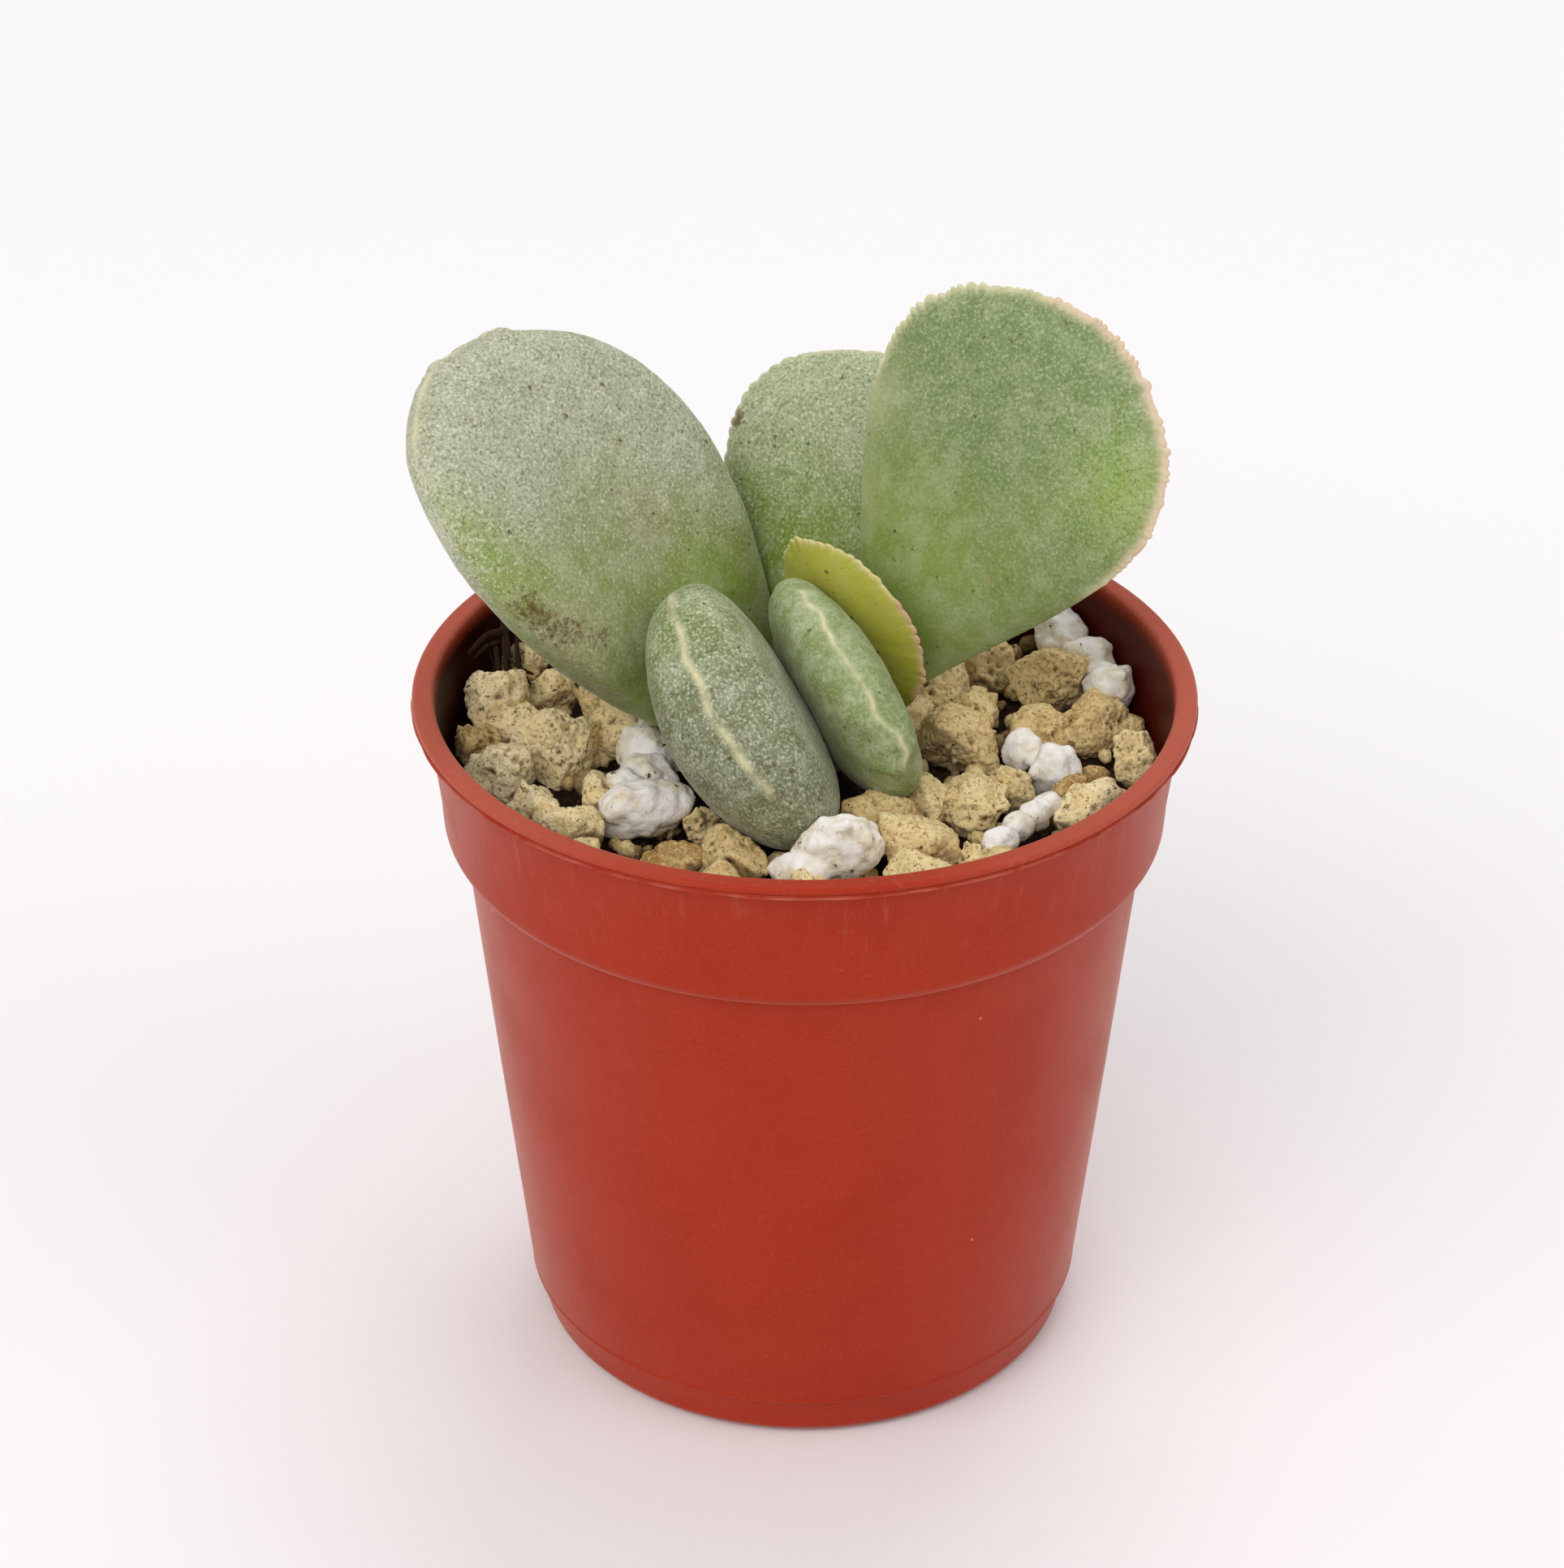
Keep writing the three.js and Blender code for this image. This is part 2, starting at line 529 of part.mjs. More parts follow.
// The fine grit under the stones: a disc whose top is raised by the bed's formula
function bedGeometry() {
  const vertices = [];
  const triangle = (a, b, c) => vertices.push(...a, ...b, ...c);
  const top = (radius, i) => {
    const angle = (2 * Math.PI * i) / BED_SEGMENTS;
    const x = radius * Math.cos(angle);
    const y = radius * Math.sin(angle);
    return [x, y, bedHeight(x, y)];
  };
  const outer = BED_RINGS[BED_RINGS.length - 1];
  for (let i = 0; i < BED_SEGMENTS; i += 1) {
    const j = (i + 1) % BED_SEGMENTS;
    triangle(top(0, 0), top(BED_RINGS[0], i), top(BED_RINGS[0], j));
    for (let k = 0; k + 1 < BED_RINGS.length; k += 1) {
      const [inner, next] = [BED_RINGS[k], BED_RINGS[k + 1]];
      triangle(top(inner, i), top(next, i), top(next, j));
      triangle(top(inner, i), top(next, j), top(inner, j));
    }
    const [upA, upB] = [top(outer, i), top(outer, j)];
    const [lowA, lowB] = [[upA[0], upA[1], BED_FOOT], [upB[0], upB[1], BED_FOOT]];
    triangle(upA, lowA, lowB);
    triangle(upA, lowB, upB);
    triangle([0, 0, BED_FOOT], lowB, lowA);
  }
  const geometry = new THREE.BufferGeometry();
  geometry.setAttribute('position', new THREE.Float32BufferAttribute(vertices, 3));
  return geometry;
}

// Stones added by rule where none of the placed ones lies within reach
function fillStones(placed) {
  const stones = [];
  let seed = FILL_SEED;
  const clear = (x, y, size) => Math.hypot(x - CROWN.x, y - CROWN.y) > FILL_CROWN_CLEARANCE
    && [...placed, ...stones].every((stone) => (
      Math.hypot(stone.at[0] - x, stone.at[1] - y) > FILL_SPACING * (stone.size[0] + size)
    ));
  FILL_RINGS.forEach(({ radius, count }) => {
    for (let i = 0; i < count; i += 1) {
      seed += 1;
      const angle = (2 * Math.PI * (i + FILL_SWING * draw(seed))) / count;
      const x = radius * Math.cos(angle);
      const y = radius * Math.sin(angle);
      const size = FILL_SIZE[0] + (FILL_SIZE[1] - FILL_SIZE[0]) * draw(seed + 0.5);
      if (clear(x, y, size)) {
        const at = [x, y, bedHeight(x, y) + FILL_SINK * size];
        const shape = FILL_SHAPE.map((share) => share * size);
        stones.push({ at, size: shape, turn: 360 * draw(seed + 0.25), coarse: true });
      }
    }
  });
  return stones;
}

// The bark strips, or with a clearance the room that they need
function barkSolid(clearance = 0) {
  const strips = BARK_STRIPS.map(({ broad, thin, route }) => {
    const halfBroad = broad / 2 + clearance;
    const halfThin = thin / 2 + clearance;
    const section = new THREE.Shape([
      new THREE.Vector2(-halfThin, -halfBroad / 3),
      new THREE.Vector2(0, -halfBroad),
      new THREE.Vector2(halfThin, -halfBroad / 4),
      new THREE.Vector2(0, halfBroad),
    ]);
    const points = route.map((point) => new THREE.Vector3(...point));
    const ends = [[0, 1], [points.length - 1, points.length - 2]];
    const reaches = ends.map(([end, next]) => (
      points[end].clone().sub(points[next]).setLength(clearance)
    ));
    ends.forEach(([end], k) => points[end].add(reaches[k]));
    const path = new THREE.CatmullRomCurve3(points);
    return solidOf(new THREE.ExtrudeGeometry(section, { steps: BARK_STEPS, extrudePath: path }));
  });
  return Manifold.union(strips);
}

// Stones that lie against each other as one body, each with a seed of its own, or with a clearance
// the room that they need
function fused(stones, firstSeed, clearance = 0) {
  return Manifold.union(stones.map((stone, i) => {
    const size = stone.size.map((across) => across + 2 * clearance);
    const coarse = Math.max(...stone.size) < PEBBLE_SIZE;
    return solidOf(stoneGeometry({ coarse, ...stone, size }, firstSeed + STONE_SEED_STEP * i));
  }));
}

const model = new THREE.Group();

function addPiece(parent, name, geometry, { color, roughness }) {
  const material = new THREE.MeshStandardMaterial({ color, roughness, metalness: 0 });
  const mesh = new THREE.Mesh(geometry, material);
  mesh.name = name;
  parent.add(mesh);
}

const room = cavity();
const stem = stemGeometry();
const stemClear = swollen(stem);

addPiece(model, 'pot', potGeometry(), FINISH.plastic);
const mix = room.intersect(slab(MIX_TOP)).subtract(stemClear);
addPiece(model, 'potting_mix', geometryOf(mix), FINISH.mix);

// The plant: each leaf is cut clear of the stem and of the leaves before it
const plant = new THREE.Group();
model.add(plant);
addPiece(plant, 'stem', stem, FINISH.stem);
const obstacles = [stemClear];
LEAVES.forEach((leaf) => {
  const whole = leafGeometry(leaf);
  const blade = largestPiece(obstacles.reduce((rest, other) => rest.subtract(other), solidOf(whole)));
  obstacles.push(swollen(whole));
  addPiece(plant, leaf.name, geometryOf(blade), leaf.name === 'leaf_young' ? FINISH.youngLeaf : FINISH.leaf);
});

// The top dressing: bark first, then perlite, then pumice cut clear of both
const dressing = new THREE.Group();
model.add(dressing);
const bark = obstacles.reduce((rest, other) => rest.subtract(other), room.intersect(barkSolid()));
addPiece(dressing, 'bark_strips', geometryOf(largestPiece(bark)), FINISH.bark);
obstacles.push(barkSolid(GAP));

const cutters = [];
Object.entries(PERLITE).forEach(([name, lumps], i) => {
  const cluster = fused(lumps, PERLITE_SEED + PERLITE_SEED_STEP * i);
  const whole = largestPiece(obstacles.reduce((rest, other) => rest.subtract(other), cluster));
  addPiece(dressing, name, geometryOf(whole), FINISH.perlite);
  cutters.push(fused(lumps, PERLITE_SEED + PERLITE_SEED_STEP * i, LUMP_CLEARANCE));
});

const placed = [...PUMICE, ...Object.values(PERLITE).flat()];
const gravel = Manifold.union([
  solidOf(bedGeometry()),
  fused([...PUMICE, ...fillStones(placed)], PUMICE_SEED),
]);
const clearGravel = [...obstacles, ...cutters].reduce((rest, other) => rest.subtract(other), gravel);
addPiece(dressing, 'pumice_gravel', geometryOf(largestPiece(clearGravel)), FINISH.pumice);

export default model;
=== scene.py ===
"""Looks of a potted Adromischus trigynus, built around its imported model.

Sizes are in millimetres unless a name says otherwise. +Z is up, the origin is the centre of the
pot's foot, and the photograph is taken from -Y.
"""
import itertools
import json
import logging
import math
from dataclasses import dataclass, field
from enum import Enum
from functools import partial
from typing import Any, Callable, ClassVar, Iterable, Iterator, Sequence

import bpy
import numpy as np
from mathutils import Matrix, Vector
from mathutils.bvhtree import BVHTree

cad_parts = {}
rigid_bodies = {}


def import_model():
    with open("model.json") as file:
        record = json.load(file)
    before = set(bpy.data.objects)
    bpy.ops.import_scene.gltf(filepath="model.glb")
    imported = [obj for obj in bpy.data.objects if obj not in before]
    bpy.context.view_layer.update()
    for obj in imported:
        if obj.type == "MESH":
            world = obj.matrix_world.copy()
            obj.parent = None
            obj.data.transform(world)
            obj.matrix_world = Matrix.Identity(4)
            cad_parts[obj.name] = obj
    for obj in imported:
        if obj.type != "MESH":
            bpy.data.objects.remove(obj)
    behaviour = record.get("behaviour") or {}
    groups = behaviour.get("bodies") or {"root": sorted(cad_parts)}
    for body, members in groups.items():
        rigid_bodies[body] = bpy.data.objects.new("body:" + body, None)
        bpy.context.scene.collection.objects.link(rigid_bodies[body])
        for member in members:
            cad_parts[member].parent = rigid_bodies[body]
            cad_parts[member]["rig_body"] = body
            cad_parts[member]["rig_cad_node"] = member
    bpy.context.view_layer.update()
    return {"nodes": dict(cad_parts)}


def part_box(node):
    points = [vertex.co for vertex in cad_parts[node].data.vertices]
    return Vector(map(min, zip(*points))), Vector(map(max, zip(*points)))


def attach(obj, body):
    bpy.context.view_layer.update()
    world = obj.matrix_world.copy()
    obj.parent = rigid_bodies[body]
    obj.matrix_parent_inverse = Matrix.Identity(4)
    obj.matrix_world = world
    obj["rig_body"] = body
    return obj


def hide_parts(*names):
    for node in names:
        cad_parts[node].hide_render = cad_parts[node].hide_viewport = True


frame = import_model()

LOG = logging.getLogger("potted_plant")
MM = 0.001
BODY = "root"
# Middle of the crown, where the leaves spring from the stem.
CROWN = np.array([1.2, 4.8, 45.0])
# Large factors, so that neighbouring seeds and cells draw numbers that look unrelated.
SEED_WAVE = (12.9898, 4.1414, 43758.5453)
CELL_FACTORS = np.array([73856093, 19349663, 83492791])
SEED_FACTOR = 40503
MIX_STEPS = ((13, 1274126177), (15, 1103515245))
# Shift between the layers of a noise, so that their cells don't line up.
OCTAVE_SHIFT = 17.3

Colour = tuple[float, float, float, float]
Place = tuple[float, float, float]
Ring = tuple[float, float]
Span = tuple[float, float]
Amount = float | np.ndarray
AddNode = Callable[..., bpy.types.Node]
Output = bpy.types.NodeSocket


def linear(shade: str) -> Colour:
    """Turns an sRGB hex colour into linear RGBA.

    Args:
        shade: Colour such as "#a63a29".

    Returns:
        Linear red, green, blue and an alpha of 1.
    """
    parts = [int(shade[i:i + 2], 16) / 255 for i in (1, 3, 5)]
    red, green, blue = [c / 12.92 if c <= 0.04045 else ((c + 0.055) / 1.055) ** 2.4 for c in parts]
    return red, green, blue, 1.0


def per_mm(size: float) -> float:
    """Gives the texture scale, per metre, of a pattern whose cell is this many millimetres."""
    return 1 / (size * MM)


def smoothstep(value: np.ndarray, low: float = 0.0, high: float = 1.0) -> np.ndarray:
    """Eases from 0 at low to 1 at high, also where low is the larger of the two."""
    share = np.clip((value - low) / (high - low), 0, 1)
    return share * share * (3 - 2 * share)


def draw(seed: float) -> float:
    """Gives the repeatable random number, from 0 to 1, that belongs to a seed."""
    value = math.sin(seed * SEED_WAVE[0] + SEED_WAVE[1]) * SEED_WAVE[2]
    return value - math.floor(value)


def between(span: Span, share: Amount) -> Amount:
    """Gives the value that lies a share, 0 to 1, of the way along a span."""
    return span[0] + (span[1] - span[0]) * share


def cell_draw(cells: np.ndarray, seed: int) -> np.ndarray:
    """Gives each whole-numbered cell in space its own random number.

    Args:
        cells: Cell numbers, n by 3.
        seed: Which of the endless sets of numbers to draw from.

    Returns:
        One number from 0 to 1 for each cell.
    """
    across, deep, high = (cells * CELL_FACTORS).T
    key = across ^ deep ^ high ^ (seed * SEED_FACTOR)
    for shift, factor in MIX_STEPS:
        key = (key ^ (key >> shift)) * factor & 0x7FFFFFFF
    return ((key ^ (key >> 16)) & 0xFFFF) / 0xFFFF


def swirl(points: np.ndarray, size: float, seed: int, octaves: int = 1) -> np.ndarray:
    """Smooth noise in space, each octave half the size and half the height of the last.

    Args:
        points: Places in millimetres, n by 3.
        size: Width of the largest humps in millimetres.
        seed: Which noise to use.
        octaves: How many layers to add up.

    Returns:
        Heights from about -1 to 1.
    """
    total = np.zeros(len(points))
    for octave in range(octaves):
        spread = points * 2 ** octave / size + OCTAVE_SHIFT * octave
        cells = np.floor(spread).astype(np.int64)
        ease = smoothstep(spread - cells)
        for corner in itertools.product((0, 1), repeat=3):
            near = np.where(np.array(corner) == 1, ease, 1 - ease).prod(axis=1)
            total += near * (2 * cell_draw(cells + corner, seed + octave) - 1) / 2 ** octave
    return total


def bubbles(points: np.ndarray, size: float, seed: int) -> np.ndarray:
    """Measures how far points are from the nearest of many scattered ones, one to a cell.

    Args:
        points: Places in millimetres, n by 3.
        size: Width of a cell in millimetres.
        seed: Which scatter to use.

    Returns:
        The distances, as shares of a cell's width.
    """
    spread = points / size
    cells = np.floor(spread).astype(np.int64)
    nearest = np.full(len(points), np.inf)
    for offset in itertools.product((-1, 0, 1), repeat=3):
        own = cells + offset
        centre = own + np.stack([cell_draw(own, seed + k) for k in range(3)], axis=1)
        nearest = np.minimum(nearest, np.linalg.norm(spread - centre, axis=1))
    return nearest


@dataclass(frozen=True)
class Relief:
    """Smooth humps over a surface: their height and the width of the largest, in millimetres, the
    noise that they come from, and how many layers of it add up."""

    height: float
    size: float
    seed: int = 0
    octaves: int = 1

    def at(self, points: np.ndarray, seed: int = 0) -> np.ndarray:
        """Height of the surface at each point, for a piece with a seed of its own."""
        return self.height * swirl(points, self.size, self.seed + seed, self.octaves)


@dataclass(frozen=True)
class Knobs:
    """Round knobs over a surface: their height and spacing in millimetres, the share of that
    spacing where they meet the plain surface, and the scatter that they come from."""

    height: float
    spacing: float
    level: float
    seed: int

    def at(self, points: np.ndarray, seed: int = 0) -> np.ndarray:
        """Height of the surface at each point, for a piece with a seed of its own."""
        return self.height * (self.level - bubbles(points, self.spacing, self.seed + seed))


def sampled(rows: np.ndarray, run: np.ndarray) -> np.ndarray:
    """Places on the line through some rows of numbers, where run counts the rows from 0."""
    return np.stack([np.interp(run, range(len(rows)), column) for column in rows.T], axis=1)


def from_axis(points: np.ndarray) -> np.ndarray:
    """Gives each point's distance from the pot's axis."""
    return np.hypot(points[:, 0], points[:, 1])


def vectors_of(rows: Any, name: str) -> np.ndarray:
    """Reads a vector of each of a mesh's elements.

    Args:
        rows: The elements, such as the mesh's vertices.
        name: The vector's name.

    Returns:
        The vectors, n by 3.
    """
    flat = np.empty(len(rows) * 3)
    rows.foreach_get(name, flat)
    return flat.reshape(-1, 3)


def points_of(piece: bpy.types.Object) -> np.ndarray:
    """Reads a piece's vertices, n by 3, in millimetres."""
    return vectors_of(piece.data.vertices, "co") / MM


def move_points(piece: bpy.types.Object, points: np.ndarray) -> None:
    """Writes a piece's vertices, n by 3, from millimetres."""
    piece.data.vertices.foreach_set("co", (points * MM).ravel())
    piece.data.update()


def normals_of(piece: bpy.types.Object) -> np.ndarray:
    """Reads the normals of a piece's vertices, n by 3."""
    return vectors_of(piece.data.vertex_normals, "vector")


def mark_points(piece: bpy.types.Object, name: str, values: np.ndarray) -> None:
    """Stores one number per vertex, which a material reads by the attribute's name."""
    layer = piece.data.attributes.get(name) or piece.data.attributes.new(name, "FLOAT", "POINT")
    layer.data.foreach_set("value", np.clip(values, 0, 1).astype(np.float32))


def deselect() -> None:
    """Leaves nothing selected, so that an operator acts on the new piece alone."""
    for other in bpy.context.selected_objects:
        other.select_set(False)


def take_up(piece: bpy.types.Object) -> None:
    """Makes a piece the only selected and the active one.

    Args:
        piece: The piece that the next operator acts on.
    """
    deselect()
    piece.select_set(True)
    bpy.context.view_layer.objects.active = piece


def edit_whole(piece: bpy.types.Object, step: Callable[..., Any], **settings: Any) -> None:
    """Runs one edit-mode operator on the whole of a piece's mesh.

    Args:
        piece: The piece.
        step: The operator.
        settings: The operator's settings.
    """
    take_up(piece)
    bpy.ops.object.mode_set(mode="EDIT")
    bpy.ops.mesh.select_all(action="SELECT")
    step(**settings)
    bpy.ops.object.mode_set(mode="OBJECT")


def apply_modifier(piece: bpy.types.Object, kind: str, **settings: Any) -> None:
    """Adds a modifier and applies it to the mesh.

    Args:
        piece: The piece.
        kind: The modifier's type.
        settings: The modifier's settings.
    """
    take_up(piece)
    modifier = piece.modifiers.new(kind.title(), kind)
    for name, value in settings.items():
        setattr(modifier, name, value)
    bpy.ops.object.modifier_apply(modifier=modifier.name)


def copy_of(piece: bpy.types.Object) -> bpy.types.Object:
    """Copies a piece, with a mesh of its own.

    Args:
        piece: The piece, which stays as it is.

    Returns:
        The copy, in the scene.
    """
    copy = piece.copy()
    copy.data = piece.data.copy()
    bpy.context.scene.collection.objects.link(copy)
    return copy


def settle(piece: bpy.types.Object, name: str) -> bpy.types.Object:
    """Names a finished piece, brings its origin to the world's and shades it smooth.

    Args:
        piece: The piece.
        name: Its name, and its mesh's.

    Returns:
        The same piece.
    """
    take_up(piece)
    bpy.ops.object.transform_apply(location=True, rotation=True, scale=True)
    bpy.ops.object.shade_smooth()
    piece.name = name
    piece.data.name = name
    return piece


def hand_over(
    piece: bpy.types.Object, material: bpy.types.Material, nodes: Iterable[str] = (),
) -> None:
    """Dresses a piece, tells the frame what it rides on and hides the model's solids that it stands
    for.

    Args:
        piece: The finished piece.
        material: Its material.
        nodes: Solids of the model that the piece stands for.
    """
    piece.data.materials.clear()
    piece.data.materials.append(material)
    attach(piece, BODY)
    if nodes:
        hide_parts(*nodes)
    LOG.info("%s: %d triangles", piece.name, triangle_count(piece))


def triangle_count(piece: bpy.types.Object) -> int:
    """Counts a mesh's triangles."""
    return sum(len(face.vertices) - 2 for face in piece.data.polygons)


def join(pieces: Sequence[bpy.types.Object]) -> bpy.types.Object:
    """Joins pieces, each a closed mesh of its own within the whole.

    Args:
        pieces: The pieces, which are gone afterwards but for the first.

    Returns:
        The first piece, which now holds them all.
    """
    take_up(pieces[0])
    for piece in pieces:
        piece.select_set(True)
    bpy.ops.object.join()
    return pieces[0]


def tree_of(piece: bpy.types.Object) -> BVHTree:
    """Builds the search tree, in millimetres, of a piece's faces."""
    faces = [tuple(face.vertices) for face in piece.data.polygons]
    return BVHTree.FromPolygons(points_of(piece).tolist(), faces)


@dataclass
class Neighbour:
    """A finished piece that later ones are pressed clear of."""

    tree: BVHTree
    low: np.ndarray
    high: np.ndarray

    @classmethod
    def of(cls, piece: bpy.types.Object) -> "Neighbour":
        """Makes the neighbour that a piece is to those built after it."""
        points = points_of(piece)
        return cls(tree_of(piece), points.min(axis=0), points.max(axis=0))

    def press(self, points: np.ndarray, clearance: float, reach: float = 6.0) -> None:
        """Moves the points that lie in or against this neighbour out to its surface.

        Args:
            points: Points in millimetres, changed in place.
            clearance: Gap that is left.
            reach: How deep a point may lie and still be found.
        """
        near = ((points > self.low - clearance) & (points < self.high + clearance)).all(axis=1)
        for i in np.flatnonzero(near):
            spot, normal, _, _ = self.tree.find_nearest(Vector(points[i]), reach)
            if spot is not None and (Vector(points[i]) - spot).dot(normal) < clearance:
                points[i] = spot + normal * clearance


def lathe(name: str, profile: Sequence[Ring], segments: int) -> bpy.types.Object:
    """Draws a closed body up ring by ring, as on a wheel.

    Args:
        name: The piece's name.
        profile: Radius and height of each ring, from the axis below, round to the axis again.
        segments: Sides of each ring.

    Returns:
        The piece, closed at both poles, with its faces pointing out.
    """
    deselect()
    (_, foot), (radius, height) = profile[0], profile[1]
    bpy.ops.mesh.primitive_circle_add(
        vertices=segments, radius=radius * MM, fill_type="TRIFAN", location=(0, 0, height * MM))
    piece = bpy.context.object
    hub = min(piece.data.vertices, key=lambda vertex: vertex.co.xy.length)
    hub.co.z += (foot - height) * MM
    for vertex in piece.data.vertices:
        vertex.select = vertex != hub
    for part in itertools.chain(piece.data.edges, piece.data.polygons):
        part.select = hub.index not in part.vertices
    bpy.ops.object.mode_set(mode="EDIT")
    for wide, high in profile[2:-1]:
        rise = (0, 0, (high - height) * MM)
        bpy.ops.mesh.extrude_region_move(TRANSFORM_OT_translate={"value": rise})
        grow = wide / radius
        bpy.ops.transform.resize(value=(grow, grow, 1), center_override=(0, 0, 0))
        radius, height = wide, high
    rise = (0, 0, (profile[-1][1] - height) * MM)
    bpy.ops.mesh.extrude_region_move(TRANSFORM_OT_translate={"value": rise})
    bpy.ops.mesh.merge(type="CENTER")
    bpy.ops.mesh.select_all(action="SELECT")
    bpy.ops.mesh.normals_make_consistent(inside=False)
    bpy.ops.object.mode_set(mode="OBJECT")
    return settle(piece, name)


def arc(centre: Ring, radius: float, start: float, end: float, steps: int) -> list[Ring]:
    """Rings along a rounded corner of a profile.

    Args:
        centre: Radius and height of the corner's centre.
        radius: Radius of the rounding.
        start: Angle of the first ring in degrees, 0 facing out and 90 facing up.
        end: Angle of the last ring.
        steps: Number of stretches between them.

    Returns:
        The rings, first and last included.
    """
    angles = np.radians(np.linspace(start, end, steps + 1))
    return [(centre[0] + radius * math.cos(a), centre[1] + radius * math.sin(a)) for a in angles]


def add_node(
    tree: bpy.types.NodeTree, kind: str, settings: dict[str, Any], inputs: dict[Any, Any],
) -> bpy.types.Node:
    """Adds a shader node with its settings and links.

    Args:
        tree: The material's node tree.
        kind: The node's type without its leading ShaderNode.
        settings: Properties to set, where stops are the (place, colour) pairs of a colour ramp.
        inputs: Sockets by name or number, each with a value or the output to link to it.

    Returns:
        The new node.
    """
    node = tree.nodes.new("ShaderNode" + kind)
    for name, value in settings.items():
        if name == "stops":
            ramp = node.color_ramp.elements
            while len(ramp) < len(value):
                ramp.new(0.5)
            for element, (place, colour) in zip(ramp, value):
                element.position = place
                element.color = colour
        else:
            setattr(node, name, value)
    for name, value in inputs.items():
        socket = node.inputs[name]
        if isinstance(value, bpy.types.NodeSocket):
            tree.links.new(value, socket)
        else:
            socket.default_value = value
    return node


@dataclass(frozen=True)
class Cloud:
    """A cloudy pattern: the width of its largest patches in millimetres, the values of the noise
    (0 to 1, with 0.5 in the middle) at which they start and are full, and how strong they get."""

    size: float
    start: float
    full: float
    most: float = 1.0


@dataclass(frozen=True)
class Fleck:
    """Ragged flecks, one to a cell: their spacing in millimetres, the radius of the largest and
    how far an edge strays, both as shares of the spacing, and the power of the draw, which leaves
    fewer large enough to show the higher it is."""

    spacing: float
    largest: float
    rarity: float
    ragged: float = 0.5


